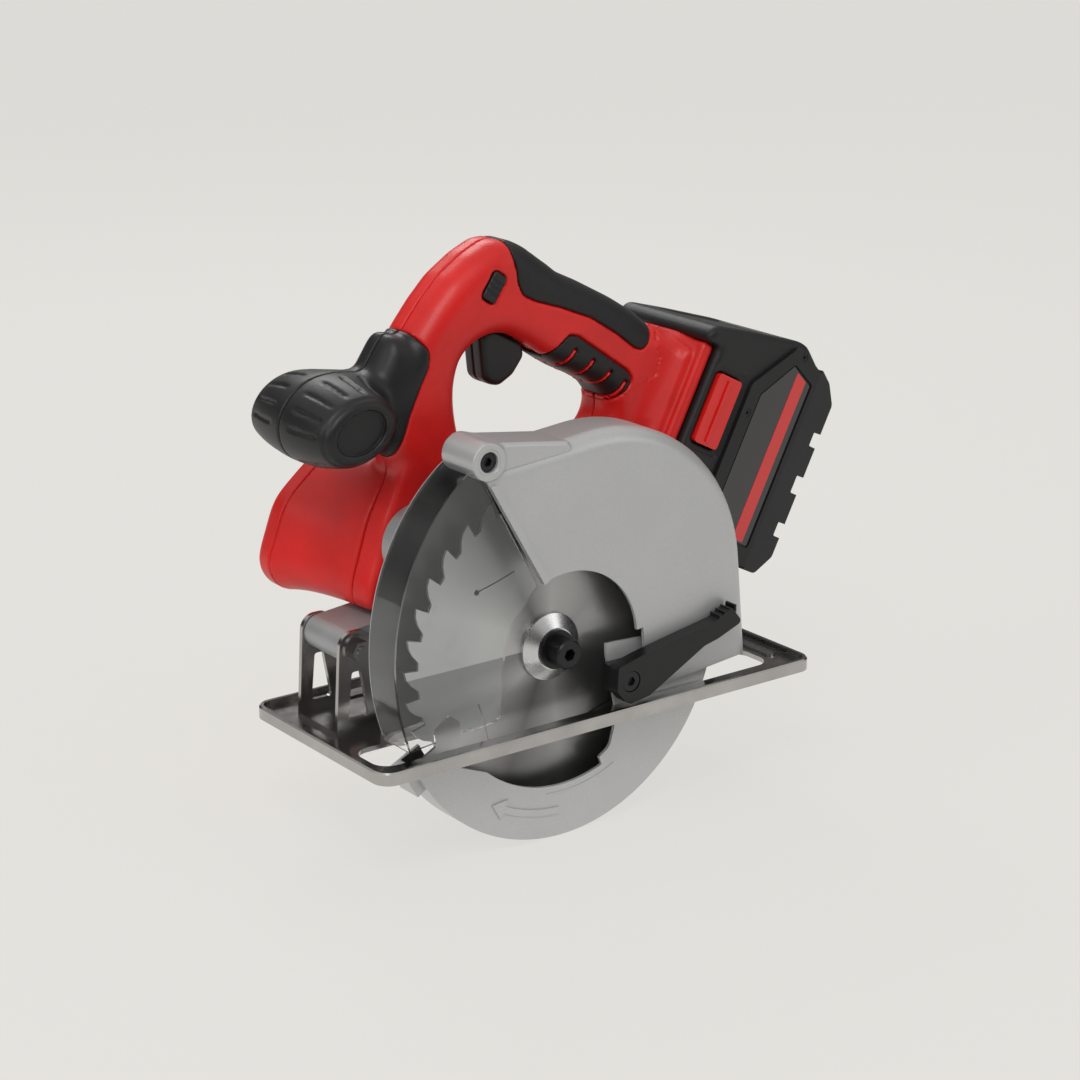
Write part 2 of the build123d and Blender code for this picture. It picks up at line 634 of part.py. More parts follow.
def clear_window():
    """Transparent front guard: a rim band and a flat face, open on the motor side."""
    face = front_region(0, BROW[0], -21)
    inner = front_region(2.0, BROW[0] + 5, -30)
    band = slab(face - inner, WINDOW_FACE_Y, WINDOW_BACK_Y)
    skirt = outline([BROW, (TIP[0] - 2, TIP[1] - 1), (-33, 24), (-39, 4), (-42.5, -22), (-60, -22),
                     (-60, 60)], [0.5, 0.5, 8.0, 12.0, 7.0, 0.5, 6.0])
    clip = Polygon((BROW[0] - GAP, BROW[1] + 20), (BROW[0] - GAP, BROW[1]), (TIP[0] - GAP, TIP[1]),
                   (TIP[0] - GAP, -40), (-140, -40), (-140, 150), align=None)
    face = (face + skirt) & clip
    notch = outline([(-82, -40), (-82, -15), (-73, -9), (-66, -15), (-66, -40)], [1, 4, 4, 4, 1])
    face = face - notch - disc(*BOSS_AT, BOSS + 0.4)
    band -= rod(*BOSS_AT, BOSS + 0.4, WINDOW_FACE_Y - 1, WINDOW_BACK_Y + 1)
    return slab(face, WINDOW_FACE_Y, WINDOW_FACE_Y + 1.6) + band


def window_screw():
    face = GUARD_OUTER_Y + 0.8
    return screw(*BOSS_AT, SCREW_HEAD, 2.3, face, SCREW_SEAT, BACK_WALL_Y - 0.2)


def guard_pin():
    """Small stop pin through the guard's rear wall."""
    return Pos(GUARD_REAR - 5, -12.0, 10.0) * Rot(0, 90, 0) * Cylinder(1.4, 7.0)


HUB_OUTER = 27.5


def lower_guard():
    """Swinging guard, drawn level with the shoe: face, rim, motor-side web and hub."""
    front = 206.0                      # direction of its front end
    rear = 357.0                       # direction of its rear end
    ring = sector(LOWER_RADIUS, front, rear)
    window = sector(LOWER_WINDOW, front - 30, 290.5)
    cut = outline([(-80, 10), (26.5, 10), (27.5, -8), (34.5, -42), (30, -58), (10, -70.3),
                   (-30, -60), (-80, -40)], [1, 1, 3, 4, 7, 6, 3, 3])
    above = Polygon((0, 0), (0, 60), (120, 60), (120, 0), align=None)
    face = ring - window - cut - above
    body = slab(face, LOWER_OUTER_Y, LOWER_OUTER_Y + LOWER_WALL)
    body += slab(ring - Circle(LOWER_RADIUS - LOWER_WALL), LOWER_OUTER_Y, LOWER_BACK_Y)
    web = ring - Circle(LOWER_RADIUS - 14)
    web += sector(LOWER_RADIUS - 10, 270, rear) + Circle(HUB_OUTER)
    body += slab(web - Circle(NOSE_RADIUS + 0.1), LOWER_BACK_Y - LOWER_WALL, LOWER_BACK_Y)
    body += tube(0, 0, HUB_OUTER, NOSE_RADIUS + 0.1, LOWER_BACK_Y - LOWER_WALL, BACK_WALL_Y + 1)
    bumper = sector(LOWER_RADIUS + 5, front, front + 8) - Circle(LOWER_RADIUS - 1)
    body += slab(bumper, LOWER_OUTER_Y + 4, LOWER_BACK_Y)
    body -= rod(*LEVER_ROOT, 2.6, LOWER_OUTER_Y - 1, LOWER_OUTER_Y + LOWER_WALL + 1)
    return body


def sector(radius, start, end):
    """A pie slice between two directions."""
    count = max(2, ceil((end - start) / 60))
    points = [polar(radius * 1.6, start + (end - start) * i / count) for i in range(count + 1)]
    return Circle(radius) & Polygon((0, 0), *points, align=None)


def lower_guard_spring():
    """Return spring: flat coils around the hub."""
    spring = None
    for ring in range(2):
        radius = HUB_OUTER + 1.3 + ring * 2.1
        turn = tube(0, 0, radius + 0.6, radius - 0.6, LOWER_BACK_Y + 0.4, CASE_FRONT_Y - 0.2)
        spring = turn if spring is None else spring + turn
    front = LOWER_BACK_Y + 0.4
    link = box(HUB_OUTER + 1.3, HUB_OUTER + 3.4, front, CASE_FRONT_Y - 0.2, -0.5, 0.5)
    tail = box(-0.6, 0.6, front, CASE_FRONT_Y, -HUB_OUTER - 3.9, -HUB_OUTER - 2.8)
    return spring + link + tail


LEVER_ROOT = (33.0, -19.0)             # lever's screw, level arbor coordinates
LEVER_FACE = -27.0


def guard_lever():
    """Black thumb lever on the lower guard, lying outside the upper guard."""
    x, z = LEVER_ROOT
    outside = GUARD_OUTER_Y - 1.4
    foot = disc(x, z, 7.5) + Polygon((x - 8, z + 8), (x - 8, z - 6), (x, z - 9.5), (x + 5, z - 3),
                                     (x + 4, z + 8), align=None)
    foot = foot & Circle(GUARD_CUTOUT - 1.2)
    body = slab(foot, outside, LOWER_OUTER_Y - 0.02)
    arm = outline([(x - 8.5, z + 9), (x + 6, z + 12.5), (x + 56, z + 21), (x + 66, z + 26),
                   (x + 73, z + 17), (x + 57, z + 11), (x + 48, z + 9), (x + 12, z - 10),
                   (x - 2, z - 12), (x - 9, z - 4)], [2, 6, 8, 1.5, 2, 3, 6, 5, 5, 4])
    body += slab(arm, LEVER_FACE, outside)
    for rib in range(4):
        px = x + 58 + rib * 3.4
        pz = z + 21.5 + rib * 1.2
        body += Pos(px, (LEVER_FACE + outside) / 2, pz) * Box(1.2, abs(LEVER_FACE - outside), 4.0)
    body -= rod(x, z, 5.6, LEVER_FACE, LEVER_FACE + 4)
    body -= rod(x, z, 2.6, LEVER_FACE, LOWER_OUTER_Y)
    return body


def lever_screw():
    x, z = LEVER_ROOT
    return screw(x, z, 5.2, 2.5, LEVER_FACE + 0.5, LEVER_FACE + 4, LOWER_OUTER_Y + LOWER_WALL)


# ---- housing ------------------------------------------------------------------------------------
LOOP_OUT = [(-56, 104), (-60, 122), (-56, 145), (-38, 160), (-12, 186), (22, 199.5), (42, 190.5),
            (50, 176)]
LOOP_GRIP = [(-28.8, 177.2), (21.4, 175.0), (30, 172.0)]
FOOT_BACK = 41.0                       # front of the foot's flange, along the grip
OPENING = [(-13, 92), (-14, 124), (-9, 147), (10, 151), (31, 137), (82, 101), (71, 80)]


def loop_outline():
    """The handle loop: arm, grip, neck, rear strut and the bridge behind the guard."""
    points = LOOP_OUT + grip_points(LOOP_GRIP)
    points += grip_points([(FOOT_BACK, 172), (FOOT_BACK, 98)])
    points += [(70, 56), (-20, 60)]
    radii = [6, 20, 30, 60, 60, 22, 8, 3, 40, 10, 6, 4, 4, 10, 6]
    return outline(points, radii)


def opening_outline():
    return outline(OPENING, [12, 20, 16, 14, 14, 12, 12])


def handle_half(side):
    """Solid half of the handle loop on one side of the parting plane, edges rounded."""
    y0 = HANDLE_Y
    y1 = HANDLE_Y + side * HANDLE_HALF
    shape = slab(loop_outline() - opening_outline(), min(y0, y1), max(y0, y1))
    faces = shape.faces().sort_by(Axis.Y)
    face = faces[0] if side < 0 else faces[-1]
    return fillet(face.edges(), EDGE_ROUND)


def handle_cavity(side):
    y0 = HANDLE_Y
    y1 = HANDLE_Y + side * (HANDLE_HALF - SHELL)
    wall = SHELL + GRIP_SKIN
    hollow = offset(loop_outline(), -wall) - offset(opening_outline(), wall)
    return slab(hollow, min(y0, y1), max(y0, y1))


# motor housing, seen along the motor: at the handle's parting plane and at the end cover
BARREL_SEAM = [(-50, 97), (-62, 71), (-79, 44), (-81, 30), (0, 30), (6, 60), (-6, 94)]
BARREL_END = [(-58, 93), (-84, 75), (-97, 47), (-94, 30), (0, 30), (6, 60), (-6, 93)]
BARREL_FRONT_Y = CASE_REAR_Y + 0.4


def barrel_section(y, inset=0.0):
    """The tapered motor housing cut at y, drawn in by inset, as a flat sketch."""
    share = (y - HANDLE_Y) / (CAP_Y - HANDLE_Y)
    points = []
    for (x0, z0), (x1, z1) in zip(BARREL_SEAM, BARREL_END):
        points.append((x0 + share * (x1 - x0), z0 + share * (z1 - z0)))
    face = make_face(Polyline(*points, close=True))
    return offset(face, -inset, kind=Kind.INTERSECTION) if inset else face


def barrel(y0, y1, inset=0.0):
    """The motor housing between two cuts, as a solid."""
    near = Pos(0, y0, 0) * (Plane.XZ * barrel_section(y0, inset))
    far = Pos(0, y1, 0) * (Plane.XZ * barrel_section(y1, inset))
    return loft([near, far], ruled=True)


def foot_solid(side):
    """Flange that carries the battery, and its flare into the neck."""
    y0 = HANDLE_Y
    y1 = HANDLE_Y + side * FOOT_HALF
    plate = grip_block(FOOT_BACK, BATTERY_FRONT - SLIDE, 92, 175, 0.8)
    return slab(plate, min(y0, y1), max(y0, y1))


RAIL_HALF = 22.0
RAIL_NECK = 17.0
RAIL = (98.0, 166.0)                   # ends of the rail, across the grip
RAIL_END = BATTERY_FRONT + 6.0
RAIL_LIP = 3.0


def rail_solid(side):
    """T-shaped rail under the foot that the battery slides onto."""
    neck = grip_block(BATTERY_FRONT - 1, RAIL_END, *RAIL, 0.4)
    head = grip_block(RAIL_END - RAIL_LIP, RAIL_END, *RAIL, 0.4)
    ends = sorted((HANDLE_Y, HANDLE_Y + side * RAIL_NECK))
    tips = sorted((HANDLE_Y, HANDLE_Y + side * RAIL_HALF))
    return slab(neck, *ends) + slab(head, *tips)


def top_grip_zone():
    points = [(24, 215), (24, 186), (26, 170)]
    points += grip_points([(-60, 158), (-24, 161), (14, 157.5), (19, 164), (20, 190)])
    return outline(points, [1, 12, 8, 10, 20, 4, 3, 1])


def lower_grip_zone():
    points = grip_points([(-30, 149), (14, 144.5), (18, 130), (10, 118), (-50, 118), (-46, 133)])
    return outline(points, [4, 4, 6, 1, 1, 6])


SLOT_LIST = (-25.0, -12.0, 1.0, 13.0)  # places of the lower grip's finger slots


def grip_slots():
    slots = None
    for u in SLOT_LIST:
        corners = [(u - 1.2, 143), (u + 1.2, 143), (u - 1.8, 118), (u - 4.2, 118)]
        cut = outline(grip_points(corners), 0.5)
        slots = cut if slots is None else slots + cut
    return slots


def grip_core():
    """What lies under the grips' skin."""
    flat = offset(loop_outline(), -GRIP_SKIN) - offset(opening_outline(), GRIP_SKIN)
    return slab(flat, HANDLE_Y - HANDLE_HALF + GRIP_SKIN, HANDLE_Y + HANDLE_HALF - GRIP_SKIN)


def grip(zone):
    far = HANDLE_Y + HANDLE_HALF + 1
    near = HANDLE_Y - HANDLE_HALF - 1
    loop = handle_half(-1) + handle_half(1)
    return (loop & slab(zone, near, far)) - grip_core()


def top_grip():
    return grip(top_grip_zone())


def lower_grip():
    return grip(lower_grip_zone() - grip_slots()) - trigger_room()


NECK = [(-46, 169), (-33, 158), (-39, 138), (-48, 118), (-60, 104), (-80, 108), (-86, 132),
        (-74, 150), (-58, 147)]
KNOB_AT = (-86.0, 131.0)
KNOB_RADIUS = 24.0
KNOB_HALF = 37.0
NECK_HALF = 19.0


def sleeve_zone():
    """Part of the arm that the front handle's black sleeve covers."""
    return outline([(-110, 180), (-40, 172), (-30, 156), (-37, 138), (-47, 112), (-110, 100)],
                   [1, 3, 6, 8, 3, 1])


def knob_solid(side):
    """Half of the front handle: a rounded knob and the neck that joins it to the arm."""
    reach = side * KNOB_HALF
    x, z = KNOB_AT
    start = (KNOB_RADIUS, 0)
    shoulder = (KNOB_RADIUS * 0.93, reach * 0.55)
    edge = (KNOB_RADIUS * 0.72, reach * 0.93)
    shape = Line((0, 0), start) + Spline(start, shoulder, edge, tangents=[(0, side), (-1.2, side)])
    shape += Polyline(edge, (KNOB_RADIUS * 0.62, reach), (KNOB_RADIUS * 0.45, reach * 0.95),
                      (0, reach * 0.93), (0, 0))
    knob = revolve(make_face(shape), Axis.Y)
    knob = Pos(x, HANDLE_Y, z) * knob
    y0, y1 = sorted((HANDLE_Y, HANDLE_Y + side * NECK_HALF))
    neck = slab(outline(NECK, [4, 8, 12, 8, 5, 8, 6, 14, 14]), y0, y1)
    return knob + neck - arm_core(side)


def arm_core(side):
    """What the sleeve clips over: the arm, drawn in by the sleeve's thickness."""
    core = offset(loop_outline(), -GRIP_SKIN)
    y0, y1 = sorted((HANDLE_Y, HANDLE_Y + side * (HANDLE_HALF - GRIP_SKIN)))
    inner = slab(core, y0, y1)
    outside = handle_half(side) - slab(sleeve_zone(), HANDLE_Y - 30, HANDLE_Y + 30)
    return inner + outside


TRIGGER_TRAVEL = 7.0
LOCK_AT = (10.0, 178.0)


def trigger_outline():
    points = grip_points([(-79, 131), (-70, 137), (-52, 137), (-47, 131), (-52, 117), (-58, 111),
                          (-65, 110.5), (-71, 118)])
    return outline(points, [3, 2, 2, 3, 6, 3, 3, 10])


TRIGGER_HALF = 9.0


def trigger():
    blade_part = slab(trigger_outline(), HANDLE_Y - TRIGGER_HALF, HANDLE_Y + TRIGGER_HALF)
    stem = grip_block(-70, -56, 136, 146, 1.0)
    return blade_part + slab(stem, HANDLE_Y - 5, HANDLE_Y + 5)


def trigger_room():
    """Room for the trigger through the underside of the grip, over its travel."""
    travel = TRIGGER_TRAVEL
    well = grip_points([(-81, 124), (-81, 139), (-46 + travel, 139), (-44 + travel, 124)])
    half = TRIGGER_HALF + SLIDE
    return slab(outline(well, 1.0), HANDLE_Y - half, HANDLE_Y + half)


SWITCH_HALF = 9.0


def switch_body():
    points = grip_points([(-72, 148), (-72, 168), (-38, 168), (-38, 142), (-44, 142), (-44, 148)])
    return slab(outline(points, 1.0), HANDLE_Y - SWITCH_HALF, HANDLE_Y + SWITCH_HALF)


def trigger_spring():
    """Return spring between the trigger's stem and the switch."""
    x, z = on_grip(-55.7, 142.5)
    place = Pos(x, HANDLE_Y, z) * Rot(0, 90 + HANDLE_SLOPE, 0)
    return place * coil(2.4, 0.5, 11.2, 6)


def lock_off_outline(grow):
    shape = RectangleRounded(15 + 2 * grow, 8.5 + 2 * grow, 2.0 + grow)
    return Pos(*LOCK_AT) * Rot(0, 0, 50) * shape


def lock_off_button():
    """Sideways safety button, standing proud of the near cheek of the arm."""
    return slab(lock_off_outline(0), HANDLE_Y - HANDLE_HALF - 1.0, HANDLE_Y + HANDLE_HALF - 3.5)


TERMINAL_HALF = 11.0


def terminal_block():
    """Contact block in the foot that reaches the battery's contacts."""
    block = grip_block(30, RAIL_END - 0.5, 120, 150, 1.0)
    return slab(block, HANDLE_Y - TERMINAL_HALF, HANDLE_Y + TERMINAL_HALF)


def wire_way():
    """Passage for the contact block through the foot and its rail."""
    half = TERMINAL_HALF + 0.2
    return slab(grip_block(28, RAIL_END + 2, 118, 152, 1.0), HANDLE_Y - half, HANDLE_Y + half)


SCREW_PLACES = [(-4, 168), (78, 148), (-36, 118), (82, 76), (30, 74)]


def housing_screws():
    y0 = HANDLE_Y + HANDLE_HALF - 6
    group = None
    for x, z in SCREW_PLACES:
        one = screw(x, z, 3.4, 1.6, y0 + 1, y0 - 3, HANDLE_Y - 9)
        group = one if group is None else group + one
    return group


def screw_posts(side):
    y0, y1 = sorted((HANDLE_Y, HANDLE_Y + side * (HANDLE_HALF - SHELL + 0.5)))
    posts = None
    for x, z in SCREW_PLACES:
        post = rod(x, z, 5.0, y0, y1)
        posts = post if posts is None else posts + post
    return posts


def screw_holes(side):
    holes = None
    for x, z in SCREW_PLACES:
        if side < 0:
            hole = rod(x, z, 1.6, HANDLE_Y - 9, HANDLE_Y)
        else:
            top = HANDLE_Y + HANDLE_HALF
            hole = rod(x, z, 1.6, HANDLE_Y, top - 9) + rod(x, z, 3.5, top - 9, top + 1)
        holes = hole if holes is None else holes + hole
    return holes


def housing_half(side):
    """One clamshell half: handle loop, motor barrel and battery foot."""
    shell = handle_half(side) + foot_solid(side)
    if side > 0:
        shell = shell + barrel(HANDLE_Y, CAP_Y) - handle_cavity(side)
        shell -= barrel(HANDLE_Y, CAP_Y, SHELL)
    else:
        shell = shell + barrel(BARREL_FRONT_Y, HANDLE_Y) - handle_cavity(side)
        shell -= barrel(BARREL_FRONT_Y + SHELL, HANDLE_Y, SHELL)
    near = HANDLE_Y - HANDLE_HALF - 1
    far = HANDLE_Y + HANDLE_HALF + 1
    shell += screw_posts(side) & slab(loop_outline() - opening_outline(), near, far)
    shell += rail_solid(side)
    shell -= rod(MOTOR_X, MOTOR_Z, MOTOR_BEARING + GAP, CASE_REAR_Y, MOTOR_FRONT_Y)
    shell -= rod(MOTOR_X, MOTOR_Z, FAN_RADIUS + 1, MOTOR_FRONT_Y, CAP_Y)
    shell -= rod(MOTOR_X, MOTOR_Z, MOTOR_RADIUS + GAP, MOTOR_FRONT_Y + 6, CAP_Y)
    shell -= screw_holes(side)
    skin = slab(top_grip_zone() + (lower_grip_zone() - grip_slots()), near, far) - grip_core()
    sleeve = slab(sleeve_zone(), near, far)
    sleeve -= slab(offset(loop_outline(), -GRIP_SKIN), near + 1 + GRIP_SKIN, far - 1 - GRIP_SKIN)
    shell = shell - skin - sleeve - trigger_room() - wire_way() - switch_room()
    return shell - slab(lock_off_outline(SLIDE), near, far)


def switch_room():
    """Room for the switch and for the trigger's stem."""
    half = SWITCH_HALF + 0.2
    return slab(grip_block(-73, -37, 136, 169, 1.0), HANDLE_Y - half, HANDLE_Y + half)


VENTS = 7                              # cooling slots of the end cover
VENT_HALF = 22.0


def motor_cap():
    """End cover over the motor, with cooling slots."""
    cover = slab(barrel_section(CAP_Y), CAP_Y, CAP_END_Y)
    rim = cover.faces().sort_by(Axis.Y)[-1]
    cover = fillet(rim.edges(), 5.5)
    cover -= slab(barrel_section(CAP_Y, SHELL), CAP_Y, CAP_END_Y - SHELL)
    for index in range(VENTS):
        z = MOTOR_Z + (index - (VENTS - 1) / 2) * 6.0
        x0 = MOTOR_X - VENT_HALF
        x1 = MOTOR_X + VENT_HALF
        cover -= box(x0, x1, CAP_END_Y - SHELL - 1, CAP_END_Y + 1, z - 1.2, z + 1.2)
    cover += tube(MOTOR_X, MOTOR_Z, MOTOR_BEARING + 2, MOTOR_BEARING, CAP_END_Y - 11, CAP_END_Y - 2)
    return cover


# ---- motor --------------------------------------------------------------------------------------
CAN_RIB = 0.25                         # the can's ribs fill the room around it


def motor_can():
    can = tube(MOTOR_X, MOTOR_Z, MOTOR_RADIUS, MOTOR_RADIUS - 2, MOTOR_FRONT_Y + 8, MOTOR_REAR_Y - 4)
    ribs = None
    for index in range(4):
        turn = 45 + index * 90
        x, z = polar(MOTOR_RADIUS + CAN_RIB / 2, turn)
        rib = Pos(MOTOR_X + x, 0, MOTOR_Z + z) * Rot(0, -turn, 0) * Box(CAN_RIB, 8, 6)
        rib = Pos(0, (MOTOR_FRONT_Y + MOTOR_REAR_Y) / 2, 0) * rib
        ribs = rib if ribs is None else ribs + rib
    seat = tube(MOTOR_X, MOTOR_Z, MOTOR_RADIUS + CAN_RIB, MOTOR_RADIUS - 1, HANDLE_Y, CAP_Y)
    return can + (ribs & seat)


def motor_magnets():
    ring = disc(0, 0, MOTOR_RADIUS - 2) - disc(0, 0, MOTOR_RADIUS - 7)
    gap = Rectangle(80, 16)
    ring = Pos(MOTOR_X, MOTOR_Z) * (ring - gap)
    return slab(ring, MOTOR_FRONT_Y + 12, MOTOR_REAR_Y - 14)


ARMATURE_SLOTS = 12
FAN_BLADES = 11
FAN_RADIUS = 20.0


def armature():
    """Laminated core with its winding heads."""
    outer = MOTOR_RADIUS - 8
    core = disc(0, 0, outer)
    for index in range(ARMATURE_SLOTS):
        turn = index * 360 / ARMATURE_SLOTS
        core -= Pos(*polar(outer - 2, turn)) * Rot(0, 0, turn) * Rectangle(6, 1.6)
    core = Pos(MOTOR_X, MOTOR_Z) * core
    bore = disc(MOTOR_X, MOTOR_Z, SHAFT_RADIUS)
    laminations = slab(core - bore, MOTOR_FRONT_Y + 14, MOTOR_REAR_Y - 18)
    heads = tube(MOTOR_X, MOTOR_Z, outer - 3, SHAFT_RADIUS, MOTOR_FRONT_Y + 9, MOTOR_FRONT_Y + 14)
    heads += tube(MOTOR_X, MOTOR_Z, outer - 3, SHAFT_RADIUS, MOTOR_REAR_Y - 18, MOTOR_REAR_Y - 13)
    return laminations + heads


COMMUTATOR = 11.0


def commutator():
    return tube(MOTOR_X, MOTOR_Z, COMMUTATOR, SHAFT_RADIUS, MOTOR_REAR_Y - 12, MOTOR_REAR_Y - 2)


def motor_fan():
    hub = tube(MOTOR_X, MOTOR_Z, 9.0, SHAFT_RADIUS, MOTOR_FRONT_Y + 1, MOTOR_FRONT_Y + 7)
    fan = hub + tube(MOTOR_X, MOTOR_Z, FAN_RADIUS, 8.0, MOTOR_FRONT_Y + 5.4, MOTOR_FRONT_Y + 7)
    for index in range(FAN_BLADES):
        turn = index * 360 / FAN_BLADES
        x, z = polar(FAN_RADIUS - 6.5, turn)
        vane = Pos(MOTOR_X + x, MOTOR_FRONT_Y + 3.5, MOTOR_Z + z) * Rot(0, -turn - 20, 0)
        fan += vane * Box(11.0, 5.0, 1.2)
    return fan


def carbon_brushes():
    pair = None
    for side in (-1, 1):
        x0, x1 = sorted((MOTOR_X + side * (COMMUTATOR + RUNNING), MOTOR_X + side * (COMMUTATOR + 9)))
        one = box(x0, x1, MOTOR_REAR_Y - 10, MOTOR_REAR_Y - 5, MOTOR_Z - 3, MOTOR_Z + 3)
        pair = one if pair is None else pair + one
    return pair


def brush_holders():
    pair = None
    for side in (-1, 1):
        x0, x1 = sorted((MOTOR_X + side * (COMMUTATOR + 2), MOTOR_X + side * (MOTOR_RADIUS - 2.6)))
        one = box(x0, x1, MOTOR_REAR_Y - 12, MOTOR_REAR_Y - 4.0, MOTOR_Z - 5, MOTOR_Z + 5)
        one -= box(x0, x1, MOTOR_REAR_Y - 10, MOTOR_REAR_Y - 5, MOTOR_Z - 3, MOTOR_Z + 3)
        pair = one if pair is None else pair + one
    return pair


# ---- spindle lock -------------------------------------------------------------------------------
def spindle_lock_button():
    """Button on the back of the gear case with the pin that stops the drive gear."""
    x, z = LOCK_PIN_AT
    pin = rod(x, z, LOCK_PIN - RUNNING, GEAR_2_Y[1] + 4.5, CASE_REAR_Y + 6)
    return pin + rod(x, z, 7.0, CASE_REAR_Y + 6, CASE_REAR_Y + 10)


def spindle_lock_spring():
    x, z = LOCK_PIN_AT
    return coil_along_y(x, z, 4.4, 0.6, CASE_REAR_Y, CASE_REAR_Y + 6, 4)


# ---- battery ------------------------------------------------------------------------------------
def case_side_outline(grow):
    """Battery case, seen from the side, without its base."""
    f, e = BATTERY_FRONT, BATTERY_BASE_JOINT
    points = [(f - 10, BATTERY_TOP - 8), (f - 8, BATTERY_TOP), (f + 16, BATTERY_TOP + 4.5),
              (f + 58, BATTERY_TOP + 12), (e, BATTERY_TOP + 3), (e, BATTERY_BOTTOM),
              (f + 24, BATTERY_BOTTOM), (f + 2, BATTERY_BOTTOM + 16), (f, BATTERY_BOTTOM + 30),
              (f, BATTERY_TOP - 8)]
    face = outline(grip_points(points), [2, 3, 6, 3, 0.5, 0.5, 4, 6, 4, 0.5])
    return offset(face, grow) if grow else face


CASE_SKIN = 2.4                        # wall of the pack
FRAME_STEP = 2.0                       # the side frames stand out by this much
LATCH = (52.0, 69.0, 125.0, 163.0)     # latch button, along and across the grip
LATCH_DEPTH = 7.0
SPRING_SEAT = RAIL_HALF + 3.5          # the latch springs rest on the rail slot's walls


def battery_case():
    """Upper case of the pack: shell, rail slot and openings for the latches."""
    half = BATTERY_HALF - FRAME_STEP
    case = slab(case_side_outline(0), HANDLE_Y - half, HANDLE_Y + half)
    rims = case.faces().sort_by(Axis.Y)
    top = [e for face in (rims[0], rims[-1]) for e in face.edges()
           if on_slope(e.center())[1] > BATTERY_TOP - 3]
    case = fillet(top, 2.2)
    near = HANDLE_Y - half + CASE_SKIN
    far = HANDLE_Y + half - CASE_SKIN
    behind_rail = grip_block(BATTERY_FRONT + 12, BATTERY_END + 9, 20, 230, 1.0)
    case -= slab(case_side_outline(-CASE_SKIN) & behind_rail, near, far)
    joint = BATTERY_BASE_JOINT
    case -= slab(grip_block(joint - 4, joint + 4, BATTERY_BOTTOM + 3, BATTERY_TOP - 2, 1.0), near, far)
    case -= rail_slot()
    u0, u1, v0, v1 = LATCH
    hole = grip_block(u0 - SLIDE, u1 + SLIDE, v0 - SLIDE, v1 + SLIDE, 2.2)
    case -= slab(hole, HANDLE_Y - half - 1, HANDLE_Y - SPRING_SEAT)
    case -= slab(hole, HANDLE_Y + SPRING_SEAT, HANDLE_Y + half + 1)
    return case


def on_slope(point):
    slope = radians(HANDLE_SLOPE)
    return (point.X * cos(slope) - point.Z * sin(slope), point.X * sin(slope) + point.Z * cos(slope))


def rail_slot():
    """T-slot for the rail, open at the lower end."""
    low = BATTERY_BOTTOM - 2
    high = RAIL[1] + SLIDE
    end = RAIL_END + SLIDE
    neck = grip_block(BATTERY_FRONT - 12, end, low, high, 0.3)
    head = grip_block(RAIL_END - RAIL_LIP - SLIDE, end, low, high, 0.2)
    shape = slab(neck, HANDLE_Y - RAIL_NECK - SLIDE, HANDLE_Y + RAIL_NECK + SLIDE)
    return shape + slab(head, HANDLE_Y - RAIL_HALF - SLIDE, HANDLE_Y + RAIL_HALF + SLIDE)


def battery_base():
    """Ribbed lower cover of the pack."""
    j, e = BATTERY_BASE_JOINT, BATTERY_END
    low, high = BATTERY_BOTTOM, BATTERY_TOP
    points = grip_points([(j, high + 3), (e - 8, high - 2), (e, high - 12), (e, low + 12),
                          (e - 8, low), (j, low)])
    side = outline(points, [0.5, 4, 5, 5, 4, 0.5])
    cover = slab(side, HANDLE_Y - BATTERY_HALF, HANDLE_Y + BATTERY_HALF)
    inner = outline(grip_points([(j - 1, high - 3), (e - 3, high - 8), (e - 3, low + 8),
                                 (j - 1, low + 3)]), 2.0)
    cover -= slab(inner, HANDLE_Y - BATTERY_HALF + 4.4, HANDLE_Y + BATTERY_HALF - 4.4)
    for v0, v1 in ((96, 104), (121, 131), (148, 156)):
        notch = grip_block(e - 5, e + 3, v0, v1, 0.8)
        cover -= slab(notch, HANDLE_Y - BATTERY_HALF - 1, HANDLE_Y - BATTERY_HALF + 9)
        cover -= slab(notch, HANDLE_Y + BATTERY_HALF - 9, HANDLE_Y + BATTERY_HALF + 1)
    return cover


def frame_outline():
    """Side frame of the pack with its raised border."""
    j = BATTERY_BASE_JOINT
    low, high = BATTERY_BOTTOM, BATTERY_TOP
    points = grip_points([(75, low + 22), (75, high - 20), (98, high + 9), (j, high + 1),
                          (j, low + 1), (96, low + 1)])
    return outline(points, [3, 4, 4, 1, 1, 4])


def label_outline():
    """Shallow recess inside a side frame."""
    j = BATTERY_BASE_JOINT
    return outline(grip_points([(83, 100), (83, 162), (99, 184), (j - 3, 178), (j - 3, 84),
                                (97, 84)]), 2.0)


def side_frames():
    """Frames screwed onto both cheeks of the pack."""
    half = BATTERY_HALF - FRAME_STEP
    pair = slab(frame_outline(), HANDLE_Y - BATTERY_HALF, HANDLE_Y - half)
    pair -= slab(label_outline(), HANDLE_Y - BATTERY_HALF, HANDLE_Y - BATTERY_HALF + 1.0)
    other = slab(frame_outline(), HANDLE_Y + half, HANDLE_Y + BATTERY_HALF)
    other -= slab(label_outline(), HANDLE_Y + BATTERY_HALF - 1.0, HANDLE_Y + BATTERY_HALF)
    return pair + other - frame_screw_holes()


FRAME_SCREWS = [(79, 150), (103, 189.5), (84, 95)]


def frame_screw_holes():
    holes = None
    for u, v in FRAME_SCREWS:
        x, z = on_grip(u, v)
        hole = rod(x, z, 2.5, HANDLE_Y - BATTERY_HALF, HANDLE_Y - BATTERY_HALF + 1.2)
        hole += rod(x, z, 2.5, HANDLE_Y + BATTERY_HALF - 1.2, HANDLE_Y + BATTERY_HALF)
        holes = hole if holes is None else holes + hole
    return holes


